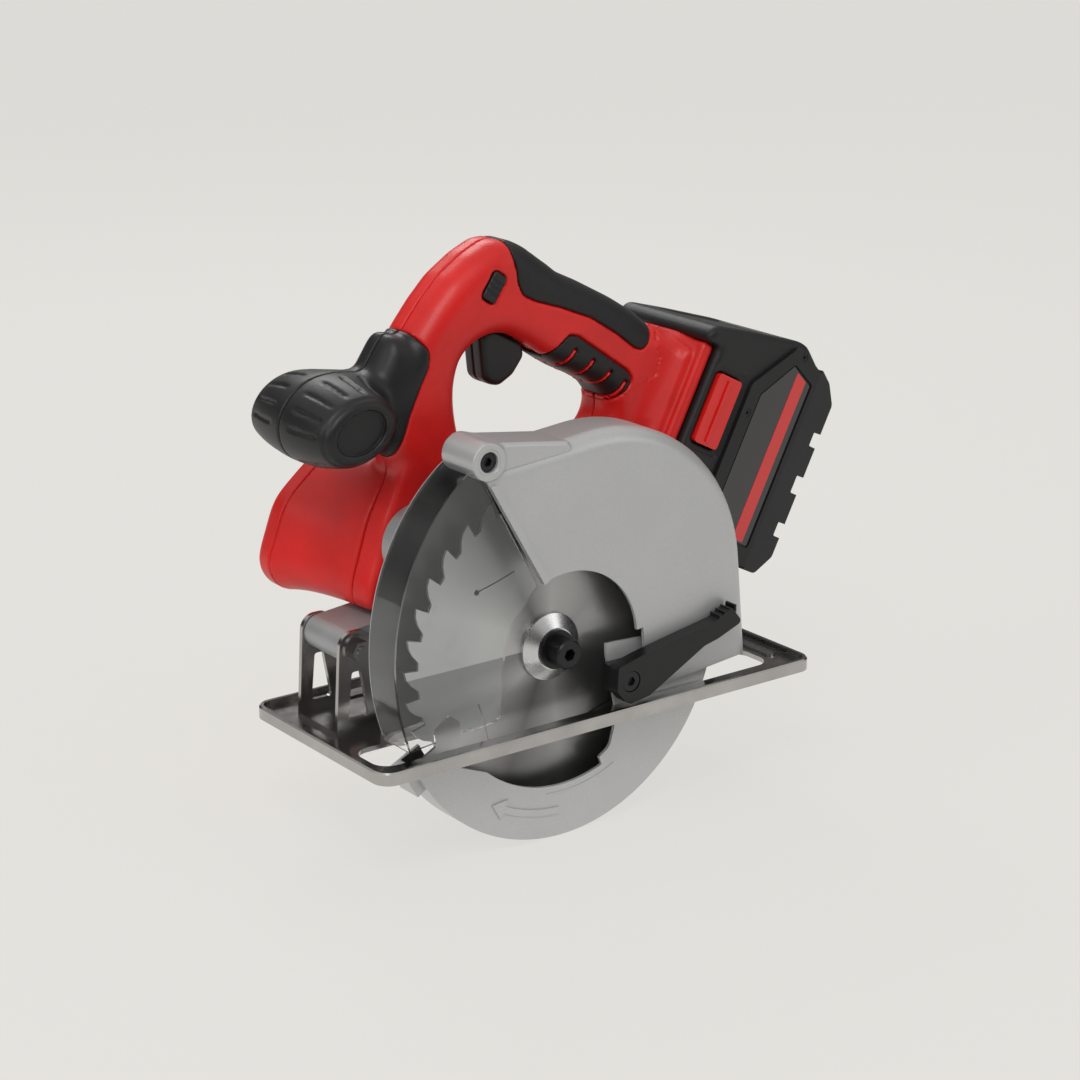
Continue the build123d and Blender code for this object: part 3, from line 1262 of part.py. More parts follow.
def battery_screws():
    """Short screws of the side frames, each with a round socket."""
    group = None
    for side in (-1, 1):
        face = HANDLE_Y + side * (BATTERY_HALF - 0.2)
        seat = HANDLE_Y + side * (BATTERY_HALF - 1.2)
        floor = HANDLE_Y + side * (BATTERY_HALF - 0.8)
        for u, v in FRAME_SCREWS:
            place = on_grip(u, v)
            head = rod(*place, 2.4, min(face, seat), max(face, seat))
            head -= rod(*place, 1.0, min(face, floor), max(face, floor))
            group = head if group is None else group + head
    return group


def latch(side):
    """Red release button on one cheek of the pack, with its catch."""
    u0, u1, v0, v1 = LATCH
    outer = HANDLE_Y + side * (BATTERY_HALF - FRAME_STEP + 1.2)
    inner = HANDLE_Y + side * (BATTERY_HALF - FRAME_STEP - LATCH_DEPTH)
    button = slab(grip_block(u0, u1, v0, v1, 2.0), min(outer, inner), max(outer, inner))
    rib = grip_block(u0 + 7, u0 + 9, v0 + 2, v1 - 2, 0.6)
    crest = HANDLE_Y + side * (BATTERY_HALF - FRAME_STEP + 2.2)
    return button + slab(rib, min(crest, outer), max(crest, outer))


def latch_springs():
    """Springs behind the latch buttons."""
    u = (LATCH[0] + LATCH[1]) / 2
    v = (LATCH[2] + LATCH[3]) / 2
    x, z = on_grip(u, v)
    inner = BATTERY_HALF - FRAME_STEP - LATCH_DEPTH
    near = coil_along_y(x, z, 3.0, 0.5, HANDLE_Y - inner, HANDLE_Y - SPRING_SEAT, 4)
    far = coil_along_y(x, z, 3.0, 0.5, HANDLE_Y + SPRING_SEAT, HANDLE_Y + inner, 4)
    return near + far


CARRIER_FRONT = LATCH[1] + 3.5         # the cells start clear of the latches


CARRIER_LOW = BATTERY_BOTTOM + CASE_SKIN + GAP


def cell_circles(radius):
    """Seven circles in two rows that nest into each other."""
    pitch = 2 * CELL_RADIUS + CELL_WEB
    first_u = CARRIER_FRONT + CELL_WEB + CELL_RADIUS
    first_v = CARRIER_LOW + CELL_WEB + CELL_RADIUS
    circles = None
    for u, count in ((first_u, 3), (first_u + pitch * cos(radians(30)), 4)):
        for index in range(count):
            v = first_v + (4 - count) * pitch / 2 + index * pitch
            one = disc(*on_grip(u, v), radius)
            circles = one if circles is None else circles + one
    return circles


def battery_cells():
    """Seven cells lying across the pack."""
    return slab(cell_circles(CELL_RADIUS), HANDLE_Y - CELL_LENGTH / 2, HANDLE_Y + CELL_LENGTH / 2)


def cell_carrier():
    """Two plates that hold the cells' ends inside the case."""
    rear = BATTERY_BASE_JOINT - 1.5
    plate = grip_block(CARRIER_FRONT, rear, CARRIER_LOW, BATTERY_TOP - 4, 1.0)
    plate -= cell_circles(CELL_RADIUS + 0.1)
    end = CELL_LENGTH / 2 + 1.5
    near = slab(plate, HANDLE_Y - end, HANDLE_Y - end + 7)
    return near + slab(plate, HANDLE_Y + end - 7, HANDLE_Y + end)


def battery_board():
    """Circuit board with the pack's contacts, above the cells."""
    u0 = BATTERY_FRONT + 12.0
    return slab(grip_block(u0, u0 + 1.6, 112, 164, 0.4), HANDLE_Y - 16, HANDLE_Y + 16)


# ---- assembly -----------------------------------------------------------------------------------
SHOE_PIECES = {"shoe": shoe, "shoe_bracket": shoe_bracket, "hinge_bolt": hinge_bolt,
               "hinge_nut": hinge_nut, "depth_bracket": depth_bracket}
LEVEL_PIECES = {"blade": blade, "lower_guard": lower_guard, "guard_lever": guard_lever,
                "lever_screw": lever_screw}
BODY_PIECES = {
    "housing_left": lambda: housing_half(-1), "housing_right": lambda: housing_half(1),
    "motor_cap": motor_cap, "housing_screws": housing_screws, "top_grip": top_grip,
    "lower_grip": lower_grip, "front_handle_left": lambda: knob_solid(-1),
    "front_handle_right": lambda: knob_solid(1), "trigger": trigger,
    "trigger_spring": trigger_spring, "lock_off_button": lock_off_button,
    "switch_body": switch_body, "terminal_block": terminal_block, "motor_can": motor_can,
    "motor_magnets": motor_magnets, "armature": armature, "commutator": commutator,
    "motor_shaft": motor_shaft, "motor_fan": motor_fan, "brush_holders": brush_holders,
    "carbon_brushes": carbon_brushes, "bearings": bearings, "gear_case": gear_case,
    "gear_case_cover": gear_case_cover, "intermediate_shaft": intermediate_shaft,
    "intermediate_gear": intermediate_gear, "spindle": spindle, "drive_gear": drive_gear,
    "inner_flange": inner_flange, "outer_flange": outer_flange, "bolt_washer": bolt_washer,
    "blade_bolt": blade_bolt, "spindle_lock_button": spindle_lock_button,
    "spindle_lock_spring": spindle_lock_spring, "upper_guard": upper_guard,
    "clear_window": clear_window, "window_screw": window_screw, "guard_pin": guard_pin,
    "lower_guard_spring": lower_guard_spring, "depth_bolt": depth_bolt, "depth_lever": depth_lever,
    "battery_case": battery_case, "battery_base": battery_base, "side_frames": side_frames,
    "latch_left": lambda: latch(-1), "latch_right": lambda: latch(1),
    "latch_springs": latch_springs, "battery_cells": battery_cells, "cell_carrier": cell_carrier,
    "battery_board": battery_board, "battery_screws": battery_screws,
}


def main():
    os.makedirs("parts", exist_ok=True)
    for name, make in SHOE_PIECES.items():
        save(name, make())
    for name, make in LEVEL_PIECES.items():
        save(name, on_arbor(make()))
    for name, make in BODY_PIECES.items():
        save(name, in_body(make()))


if __name__ == "__main__":
    main()
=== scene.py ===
"""Looks of a cordless circular saw for metal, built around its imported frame.

Every piece is drawn in millimetres in the saw's body frame (arbor at the origin, +x to the rear,
+y from the blade to the motor, +z up), pitched about the arbor and scaled to metres.
"""

import math

import bmesh
import bpy
import numpy as np
from mathutils import Matrix, Vector


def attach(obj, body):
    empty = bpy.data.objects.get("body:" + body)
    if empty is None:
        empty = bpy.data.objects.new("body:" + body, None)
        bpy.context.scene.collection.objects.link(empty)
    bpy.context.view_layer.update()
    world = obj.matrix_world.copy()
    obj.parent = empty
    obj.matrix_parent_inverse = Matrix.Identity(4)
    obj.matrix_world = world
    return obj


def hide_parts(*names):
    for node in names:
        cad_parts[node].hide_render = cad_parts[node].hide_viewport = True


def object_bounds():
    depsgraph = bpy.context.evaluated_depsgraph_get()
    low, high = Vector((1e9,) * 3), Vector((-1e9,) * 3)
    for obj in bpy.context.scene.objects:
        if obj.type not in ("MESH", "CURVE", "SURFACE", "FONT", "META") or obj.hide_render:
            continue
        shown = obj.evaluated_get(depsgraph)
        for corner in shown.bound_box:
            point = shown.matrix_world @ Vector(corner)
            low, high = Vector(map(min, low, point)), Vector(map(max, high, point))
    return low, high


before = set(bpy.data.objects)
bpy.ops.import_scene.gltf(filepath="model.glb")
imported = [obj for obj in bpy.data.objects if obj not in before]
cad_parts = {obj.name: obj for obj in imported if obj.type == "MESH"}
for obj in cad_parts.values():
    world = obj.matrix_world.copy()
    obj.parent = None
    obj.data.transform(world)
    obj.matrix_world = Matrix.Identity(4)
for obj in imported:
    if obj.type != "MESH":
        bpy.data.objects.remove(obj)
CAD_BOX = [list(corner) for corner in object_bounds()]

bl_info = {
    "name": "Cordless metal saw",
    "version": (1, 0, 0),
    "blender": (4, 5, 0),
    "location": "View3D > Sidebar > Saw",
    "description": "Builds the saw's housing, grips, battery, guards and finishes",
    "category": "Object",
}

ARBOR = 37.6                 # height of the arbor over the sole, mm
PITCH = math.radians(5.5)    # the body's pitch against the shoe
SLOPE = math.radians(33.0)   # fall of the grip to the rear
SEAM = 52.0                  # parting plane of the handle


# ---- places --------------------------------------------------------------------------------------
def on_grip(u, v):
    """A point along (u) and across (v) the grip, as body x and z."""
    return (u * math.cos(SLOPE) + v * math.sin(SLOPE), v * math.cos(SLOPE) - u * math.sin(SLOPE))


def grip(*pairs):
    return [on_grip(u, v) for u, v in pairs]


def body_matrix():
    """From body millimetres to the row frame in metres."""
    turn = Matrix.Rotation(-PITCH, 4, "Y")
    return Matrix.Scale(0.001, 4) @ Matrix.Translation((0, 0, ARBOR)) @ turn


def level_matrix():
    """From level arbor millimetres to the row frame in metres."""
    return Matrix.Scale(0.001, 4) @ Matrix.Translation((0, 0, ARBOR))


# ---- solids as distance fields -------------------------------------------------------------------
def curve_through(points, per=7):
    """A closed smooth line through the points."""
    p = np.array(points, float)
    out = []
    count = len(p)
    for i in range(count):
        a, b, c, d = p[i - 1], p[i], p[(i + 1) % count], p[(i + 2) % count]
        for step in range(per):
            t = step / per
            out.append(0.5 * (2 * b + (c - a) * t + (2 * a - 5 * b + 4 * c - d) * t * t
                              + (3 * b - a - 3 * c + d) * t ** 3))
    return np.array(out)


def blur(flat, cells):
    """Rounds the corners of a flat field."""
    kernel = np.ones(2 * cells + 1) / (2 * cells + 1)
    for _ in range(2):
        for axis in (0, 1):
            padded = np.pad(flat, [(cells, cells) if axis == a else (0, 0) for a in (0, 1)], "edge")
            flat = np.apply_along_axis(np.convolve, axis, padded, kernel, "valid")
    return flat


def join(a, b, k):
    """Union with a fillet of about k."""
    h = np.clip(0.5 + 0.5 * (b - a) / k, 0, 1)
    return b * (1 - h) + a * h - k * h * (1 - h)


def cut(a, b, k=0.01):
    """a without b, its edge rounded by about k."""
    return -join(-a, b, k)


def meet(a, b, k=0.01):
    """What a and b share, its edge rounded by about k."""
    return -join(-a, -b, k)


class Block:
    """A box of sample points that solids are drawn in."""

    def __init__(self, low, high, step):
        self.low = np.array(low, float)
        self.step = step
        axes = [np.arange(lo, hi + step, step) for lo, hi in zip(low, high)]
        self.x = axes[0][:, None, None].astype(np.float32)
        self.y = axes[1][None, :, None].astype(np.float32)
        self.z = axes[2][None, None, :].astype(np.float32)

    def flat(self, points, soften=0.0):
        """Distance to an outline in x and z, negative inside."""
        px, pz = self.x[:, 0, :], self.z[0, 0, :][None, :]
        px, pz = np.broadcast_arrays(px, pz)
        best = np.full(px.shape, 1e9)
        inside = np.zeros(px.shape, bool)
        p = np.array(points, float)
        for (ax, az), (bx, bz) in zip(p, np.roll(p, -1, 0)):
            ex, ez = bx - ax, bz - az
            wx, wz = px - ax, pz - az
            t = np.clip((wx * ex + wz * ez) / (ex * ex + ez * ez + 1e-12), 0, 1)
            best = np.minimum(best, (wx - t * ex) ** 2 + (wz - t * ez) ** 2)
            over = (az > pz) != (bz > pz)
            inside ^= over & (px < (bx - ax) * (pz - az) / (bz - az + 1e-12) + ax)
        out = np.where(inside, -np.sqrt(best), np.sqrt(best))
        if soften:
            out = blur(out, max(1, round(soften / self.step / 2)))
        return out.astype(np.float32)

    def prism(self, flat, y0, y1, round_by=0.1):
        """A flat outline as a solid from y0 to y1, its long edges rounded."""
        a = flat[:, None, :] + round_by
        b = abs(self.y - (y0 + y1) / 2) - (y1 - y0) / 2 + round_by
        within = np.minimum(np.maximum(a, b), 0)
        return within + np.hypot(np.maximum(a, 0), np.maximum(b, 0)) - round_by

    def below(self, y):
        """Everything nearer to the blade than y."""
        return self.y - y

    def above(self, y):
        """Everything beyond y, towards the motor."""
        return y - self.y

    def mesh(self, name, field, matrix, material, body, replaced=(), slot=None):
        """The solid's surface as a smooth mesh riding on a body."""
        verts, quads = surface_net(field, self.low, self.step)
        mesh = bpy.data.meshes.new(name)
        mesh.from_pydata(verts.tolist(), [], quads.tolist())
        mesh.validate()
        mesh.polygons.foreach_set("use_smooth", [True] * len(mesh.polygons))
        put(mesh, matrix, material, body, replaced)


def surface_net(field, low, step):
    """Vertices and quads on the zero level of a sampled field."""
    field = np.pad(field, 1, constant_values=1e3)
    low = low - step
    inside = field < 0
    shape = np.array(field.shape) - 1
    total = np.zeros((*shape, 3), np.float32)
    count = np.zeros(shape, np.float32)

    def corner(array, offset):
        i, j, k = offset
        return array[i:shape[0] + i, j:shape[1] + j, k:shape[2] + k]

    for axis in range(3):
        others = [a for a in range(3) if a != axis]
        for bits in range(4):
            start = [0, 0, 0]
            start[others[0]] = bits & 1
            start[others[1]] = bits >> 1
            end = list(start)
            end[axis] = 1
            fa, fb = corner(field, start), corner(field, end)
            crossing = corner(inside, start) != corner(inside, end)
            t = np.where(crossing, fa / np.where(crossing, fa - fb, 1), 0)
            for a in range(3):
                total[..., a] += crossing * (start[a] + (t if a == axis else 0))
            count += crossing
    active = count > 0
    index = np.full(shape, -1)
    index[active] = np.arange(active.sum())
    cells = np.argwhere(active)
    verts = low + (cells + total[active] / count[active][:, None]) * step
    quads = []
    for axis in range(3):
        a, b = [n for n in range(3) if n != axis]
        first = [slice(1, -1)] * 3
        first[axis] = slice(0, -1)
        second = list(first)
        second[axis] = slice(1, None)
        here, there = inside[tuple(first)], inside[tuple(second)]
        for found, flip in ((here & ~there, False), (there & ~here, True)):
            at = np.argwhere(found)
            at[:, a] += 1
            at[:, b] += 1
            corners = []
            for da, db in ((-1, -1), (0, -1), (0, 0), (-1, 0)):
                cell = at.copy()
                cell[:, a] += da
                cell[:, b] += db
                corners.append(index[cell[:, 0], cell[:, 1], cell[:, 2]])
            face = np.stack(corners, 1)
            quads.append(face[:, ::-1] if flip != (axis == 1) else face)
    return verts, np.concatenate(quads)


def put(mesh, matrix, material, body, replaced=()):
    """The mesh as an object, riding on a body and standing for the CAD nodes it replaces."""
    mesh.transform(matrix)
    mesh.materials.append(bpy.data.materials[material])
    obj = bpy.data.objects.new(mesh.name, mesh)
    bpy.context.scene.collection.objects.link(obj)
    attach(obj, body)
    if replaced:
        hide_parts(*replaced)


def plate(name, outline, y0, y1, matrix, material, body, bevel):
    """A flat piece in x and z with rounded rims, for labels and raised marks."""
    bm = bmesh.new()
    bm.faces.new([bm.verts.new((x, y0, z)) for x, z in outline])
    made = bmesh.ops.extrude_face_region(bm, geom=bm.faces[:])
    moved = [g for g in made["geom"] if isinstance(g, bmesh.types.BMVert)]
    bmesh.ops.translate(bm, verts=moved, vec=(0, y1 - y0, 0))
    bmesh.ops.recalc_face_normals(bm, faces=bm.faces[:])
    rims = [e for e in bm.edges if abs(e.verts[0].co.y - e.verts[1].co.y) < 1e-6]
    bmesh.ops.bevel(bm, geom=rims, offset=bevel, segments=2, profile=0.6, affect="EDGES")
    mesh = bpy.data.meshes.new(name)
    bm.to_mesh(mesh)
    bm.free()
    put(mesh, matrix, material, body, ())


def around(radius, degrees):
    """A point round the arbor, in x and z."""
    return (radius * math.cos(math.radians(degrees)), radius * math.sin(math.radians(degrees)))


def arc(radius, start, end, count):
    """Points on a circle round the arbor, angles in degrees."""
    return [around(radius, turn) for turn in np.linspace(start, end, count)]


# ---- shader maths --------------------------------------------------------------------------------
class Value:
    """A socket that Python's operators work on."""

    def __init__(self, graph, socket):
        self.graph = graph
        self.socket = socket

    def math(self, operation, *others):
        values = dict(enumerate((self, *others)))
        return self.graph.add("ShaderNodeMath", {"operation": operation}, values)

    def __add__(self, other):
        return self.math("ADD", other)

    def __sub__(self, other):
        return self.math("SUBTRACT", other)

    def __mul__(self, other):
        return self.math("MULTIPLY", other)

    def __truediv__(self, other):
        return self.math("DIVIDE", other)

    def __rsub__(self, other):
        return self.math("MULTIPLY_ADD", -1.0, other)

    __radd__ = __add__
    __rmul__ = __mul__


class Graph:
    """The node tree of one finish, or of the surround."""

    def __init__(self, owner, place="Object"):
        owner.use_nodes = True
        self.tree = owner.node_tree
        self.tree.nodes.clear()
        self.place = self.add("ShaderNodeTexCoord", {}, {}, place)

    def add(self, kind, settings, inputs, output=0):
        """A node of any kind: its settings first, then its sockets' values or links."""
        node = self.tree.nodes.new(kind)
        for key, value in settings.items():
            if key == "stops":
                ramp = node.color_ramp.elements
                while len(ramp) < len(value):
                    ramp.new(0.5)
                for element, (at, colour) in zip(ramp, value):
                    element.position = at
                    element.color = (*colour, 1)
            else:
                setattr(node, key, value)
        for key, value in inputs.items():
            if isinstance(value, Value):
                self.tree.links.new(value.socket, node.inputs[key])
            else:
                node.inputs[key].default_value = value
        return Value(self, node.outputs[output])

    def noise(self, scale, detail=3.0, rough=0.6, stretch=None):
        at = self.place
        if stretch:
            at = self.add("ShaderNodeVectorMath", {"operation": "MULTIPLY"}, {0: at, 1: stretch})
        return self.add("ShaderNodeTexNoise", {},
                        {"Vector": at, "Scale": scale, "Detail": detail, "Roughness": rough}, "Fac")

    def split(self, vector):
        """The three numbers of a vector."""
        node = self.tree.nodes.new("ShaderNodeSeparateXYZ")
        self.tree.links.new(vector.socket, node.inputs[0])
        return [Value(self, out) for out in node.outputs]

    def ramp(self, value, *stops):
        """Numbers at points of a 0 to 1 value."""
        stops = [(at, (level, level, level)) for at, level in stops]
        return self.add("ShaderNodeValToRGB", {"stops": stops}, {"Fac": value})

    def tint(self, share, first, second):
        """A blend of two colours by a 0 to 1 share."""
        def colour(c):
            return c if isinstance(c, Value) else (*c, 1)
        return self.add("ShaderNodeMix", {"data_type": "RGBA"},
                        {"Factor": share, 6: colour(first), 7: colour(second)}, 2)

    def wear_and_highlight_edges(self):
        """1 on outward edges, 0 elsewhere: where rubbed wear and a painted edge highlight go."""
        bend = self.add("ShaderNodeNewGeometry", {}, {}, "Pointiness")
        return self.ramp(bend, (0.52, 0.0), (0.6, 1.0))

    def bump(self, height, distance, strength=1.0, under=None):
        inputs = {"Height": height, "Distance": distance, "Strength": strength}
        if under:
            inputs["Normal"] = under
        return self.add("ShaderNodeBump", {}, inputs, "Normal")

    def surface(self, **sockets):
        """The shader and the output; names are socket names with _ for spaces."""
        inputs = {key.replace("_", " "): value for key, value in sockets.items()}
        for key in ("Base Color", "Emission Color"):
            if key in inputs and not isinstance(inputs[key], Value):
                inputs[key] = (*inputs[key], 1)
        self.end("ShaderNodeOutputMaterial",
                 self.add("ShaderNodeBsdfPrincipled", {}, inputs, "BSDF"))

    def end(self, kind, shader):
        """The tree's output node."""
        self.tree.links.new(shader.socket, self.tree.nodes.new(kind).inputs["Surface"])


def scaled(colour, by):
    return tuple(min(1.0, c * by) for c in colour)


def moulded(name, colour, rough, grain, depth, coat=0.0, edge_wear_and_highlight=0.0, sheen=0.0):
    """Moulded plastic or rubber: spark-eroded grain and faint flow marks.

    With this edge setting above zero, the outward edges are made paler and smoother: partly rubbed
    wear, partly a painted edge highlight.
    """
    g = Graph(bpy.data.materials.new(name))
    drift = g.noise(38.0, 4.0)
    fine = g.noise(grain, 3.0, 0.7)
    base = g.tint(g.ramp(drift, (0.35, 0.0), (0.7, 1.0)), scaled(colour, 0.90),
                  scaled(colour, 1.07))
    roughness = fine * 0.10 + (rough - 0.05)
    if edge_wear_and_highlight:
        # Paler outward edges: partly rubbed wear, partly a painted highlight.
        rubbed_and_highlit = g.wear_and_highlight_edges() * g.ramp(g.noise(240.0, 4.0), (0.42, 0.0), (0.62, 1.0)) * edge_wear_and_highlight
        base = g.tint(rubbed_and_highlit, base, tuple(min(1.0, c * 1.35 + 0.03) for c in colour))
        roughness = roughness - rubbed_and_highlit * 0.08
    normal = g.bump(fine, depth, 0.9, g.bump(drift, 0.0006, 0.15))
    g.surface(Base_Color=base, Roughness=roughness, Normal=normal, Coat_Weight=coat,
              Coat_Roughness=0.22, Sheen_Weight=sheen, Sheen_Roughness=0.4,
              Specular_IOR_Level=0.35)


def metal(name, colour, rough, metallic=1.0, scale=700.0, depth=0.00002, stretch=None, grime=0.25,
          spread=0.12):
    """Metal with grain along one direction or none, and grime in clouds over it."""
    g = Graph(bpy.data.materials.new(name))
    grain = g.noise(scale, 4.0, 0.65, stretch=stretch)
    cloud = g.noise(30.0, 5.0)
    base = g.tint(g.ramp(cloud, (0.35, 0.0), (0.72, 1.0)), scaled(colour, 1 - grime * 0.5),
                  scaled(colour, 1.04))
    roughness = grain * spread + cloud * 0.08 + (rough - spread / 2 - 0.04)
    g.surface(Base_Color=base, Roughness=roughness, Metallic=metallic,
              Normal=g.bump(grain, depth, 0.8))


def guard_paint(name, colour):
    """Silver paint over a pressed guard: fine flakes and slight orange peel, and painted shade,
    near black, on the inside walls that face the blade.
    """
    g = Graph(bpy.data.materials.new(name))
    flake = g.add("ShaderNodeTexVoronoi", {}, {"Vector": g.place, "Scale": 2600.0}, "Color")
    flake = g.add("ShaderNodeSeparateColor", {}, {"Color": flake}, "Red")
    peel = g.noise(420.0, 2.0, 0.5)
    cloud = g.noise(22.0, 4.0)
    base = g.tint(flake, scaled(colour, 0.94), scaled(colour, 1.05))
    base = g.tint(g.ramp(cloud, (0.4, 0.0), (0.75, 0.5)), base, scaled(colour, 0.9))
    # Painted shade: walls facing the blade on the motor side are painted near black and not
    # metallic, for the shadow inside the guard.
    facing = g.split(g.add("ShaderNodeTexCoord", {}, {}, "Normal"))[1]
    deep = g.split(g.place)[1]
    inside = facing.math("LESS_THAN", -0.9) * deep.math("GREATER_THAN", 0.001)
    base = g.tint(inside, base, (0.012, 0.012, 0.013))
    g.surface(Base_Color=base, Metallic=(1 - inside) * 0.35, Roughness=flake * 0.07 + 0.36,
              Coat_Weight=0.15, Coat_Roughness=0.3, Normal=g.bump(peel, 0.00005, 0.5))


def blade_steel(name, colour):
    """Ground blade plate: concentric grinding lines, and broad fans of painted reflection, light
    and dark by the angle round the arbor.
    """
    g = Graph(bpy.data.materials.new(name))
    level = g.add("ShaderNodeVectorMath", {"operation": "SUBTRACT"},
                  {0: g.place, 1: (0, 0, ARBOR / 1000)})
    x, _, z = g.split(level)
    radius = g.add("ShaderNodeMath", {"operation": "SQRT"}, {0: x * x + z * z})
    lines = g.add("ShaderNodeTexNoise", {"noise_dimensions": "1D"},
                  {"W": radius * 5200.0, "Scale": 1.0, "Detail": 3.0}, "Fac")
    turn = z.math("ARCTAN2", x) / (2 * math.pi) + 0.5
    # Painted reflection: light and dark fans set by the angle round the arbor.
    painted_reflection_fans = g.ramp(turn, (0.02, 0.3), (0.10, 0.8), (0.19, 0.12), (0.27, 0.55), (0.36, 0.10),
                  (0.45, 0.25), (0.52, 0.95), (0.60, 0.55), (0.74, 0.75), (0.83, 0.1), (0.93, 0.9))
    stain = g.noise(60.0, 5.0)
    base = g.tint(painted_reflection_fans, scaled(colour, 0.12), scaled(colour, 1.1))
    base = g.tint(g.ramp(lines, (0.35, 0.0), (0.65, 0.45)), base, scaled(colour, 0.45))
    base = g.tint(g.ramp(stain, (0.55, 0.0), (0.8, 0.35)), base, (0.32, 0.31, 0.29))
    g.surface(Base_Color=base, Metallic=0.85, Roughness=lines * 0.12 + stain * 0.1 + 0.22,
              Normal=g.bump(lines, 0.00003, 0.7))


def clear_plastic(name, colour):
    """Clear moulding with hair scratches and a little haze in clouds."""
    g = Graph(bpy.data.materials.new(name))
    scratch = g.noise(260.0, 2.0, 0.5, stretch=(1.0, 1.0, 14.0))
    haze = g.ramp(g.noise(70.0, 3.0), (0.4, 0.02), (0.8, 0.16))
    g.surface(Base_Color=g.tint(haze, colour, (0.9, 0.93, 0.94)), Roughness=haze + 0.01,
              Transmission_Weight=1.0, IOR=1.12, Specular_IOR_Level=1.0,
              Normal=g.bump(scratch, 0.00004, 0.25), Coat_Weight=0.9, Coat_Roughness=0.03)


def label_finish(name, colour):
    """Glossy film with fine specks and smears of its gloss."""
    g = Graph(bpy.data.materials.new(name))
    speck = g.noise(1500.0, 2.0)
    smear = g.noise(55.0, 4.0)
    g.surface(Base_Color=g.tint(speck, scaled(colour, 0.85), scaled(colour, 1.15)),
              Roughness=g.ramp(smear, (0.35, 0.14), (0.75, 0.32)), Coat_Weight=0.6,
              Coat_Roughness=0.08, Normal=g.bump(smear, 0.0001, 0.12))


def windings(name):
    """Laid copper wire under varnish."""
    g = Graph(bpy.data.materials.new(name))
    strands = g.add("ShaderNodeTexWave", {"bands_direction": "DIAGONAL"},
                    {"Vector": g.place, "Scale": 700.0, "Distortion": 2.0}, "Fac")
    g.surface(Base_Color=g.tint(strands, (0.30, 0.10, 0.04), (0.75, 0.36, 0.18)), Metallic=0.9,
              Roughness=strands * 0.2 + 0.25, Normal=g.bump(strands, 0.0002, 1.0))


def board(name):
    """Solder mask with copper tracks under it."""
    g = Graph(bpy.data.materials.new(name))
    tracks = g.add("ShaderNodeTexBrick", {}, {"Vector": g.place, "Scale": 160.0,
                                              "Mortar Size": 0.03}, "Fac")
    g.surface(Base_Color=g.tint(tracks, (0.02, 0.16, 0.07), (0.06, 0.34, 0.14)),
              Roughness=tracks * 0.1 + 0.25, Normal=g.bump(tracks, 0.0001, 0.8))


def floor_finish(name, colour):
    """Pale matt card."""
    g = Graph(bpy.data.materials.new(name))
    fibre = g.noise(90.0, 4.0)
    tone = g.tint(fibre, scaled(colour, 0.995), scaled(colour, 1.005))
    g.surface(Base_Color=scaled(colour, 0.16), Roughness=0.95, Specular_IOR_Level=0.0,
              Emission_Color=tone, Emission_Strength=0.86)


# ---- settings ------------------------------------------------------------------------------------
class SawColours(bpy.types.PropertyGroup):
    """Colours of the saw's main finishes."""

    red: bpy.props.FloatVectorProperty(
        name="Housing red", description="Moulded colour of the housing and the latches",
        subtype="COLOR", size=3, min=0, max=1, default=(0.66, 0.012, 0.010))
    black: bpy.props.FloatVectorProperty(
        name="Grip black", description="Colour of the soft grips and the front handle",
        subtype="COLOR", size=3, min=0, max=1, default=(0.011, 0.011, 0.012))
    pack: bpy.props.FloatVectorProperty(
        name="Pack black", description="Colour of the battery case",
        subtype="COLOR", size=3, min=0, max=1, default=(0.012, 0.012, 0.013))
    silver: bpy.props.FloatVectorProperty(
        name="Guard silver", description="Paint of the upper and lower guards",
        subtype="COLOR", size=3, min=0, max=1, default=(0.50, 0.505, 0.51))
    steel: bpy.props.FloatVectorProperty(
        name="Plated steel", description="Colour of the bright shoe and brackets",
        subtype="COLOR", size=3, min=0, max=1, default=(0.50, 0.49, 0.475))
    card: bpy.props.FloatVectorProperty(
        name="Floor", description="Colour of the pale floor under the saw",
        subtype="COLOR", size=3, min=0, max=1, default=(0.76, 0.745, 0.715))


class SawSizes(bpy.types.PropertyGroup):
    """Sizes of the moulded details."""

    sampling: bpy.props.FloatProperty(
        name="Sampling", description="Spacing of the sample points of the moulded pieces, in mm",
        default=1.0, min=0.5, max=3.0)
    seam: bpy.props.FloatProperty(
        name="Seam", description="Half the groove between two moulded pieces, in mm",
        default=0.22, min=0.05, max=1.0)
    groove: bpy.props.FloatProperty(
        name="Groove", description="Depth of the front handle's long grooves, in mm",
        default=1.2, min=0.0, max=3.0)
    floor: bpy.props.FloatProperty(
        name="Floor size", description="Side of the floor", default=14.0, min=2.0,
        subtype="DISTANCE", unit="LENGTH")


# ---- shapes shared by the housing and the grips -------------------------------------------------
LOOP = [(-50, 96), (-56, 106), (-60, 120), (-59, 134), (-53, 146), (-44, 155), (-34, 166),
        (-24, 176), (-12, 186), (3, 194), (16, 198.5), (27, 197.5), (36, 192), (45, 184), (52, 178)]
LOOP_GRIP = [(-50, 176.5), (-35, 177.2), (-10, 177), (8, 175.6), (20, 173), (29, 170.8), (36, 172)]
LOOP_REAR = [(41, 172), (41, 98)]
UNDER = [(70, 58), (20, 50), (-20, 62), (-42, 86)]
HOLE = [(-11, 102), (-13.5, 112), (-14, 124), (-12.5, 134), (-8.5, 143), (-1, 148.5), (9, 150.5),
        (17, 149), (26, 143), (38, 133), (52, 122), (66, 113), (75, 105), (77, 97), (72, 89),
        (60, 84), (30, 84), (4, 88)]
BARREL_END = [(-58, 93), (-84, 75), (-97, 47), (-94, 30), (0, 30), (6, 60), (-6, 93)]
BARREL_SEAM = [(-50.5, 97), (-57, 87), (-66, 74), (-79, 44), (-81, 30), (0, 30), (6, 60), (-6, 94)]
COVER_Y = 101.0              # front of the motor's end cover
COVER_END = 115.0
COVER_WALL = 3.0
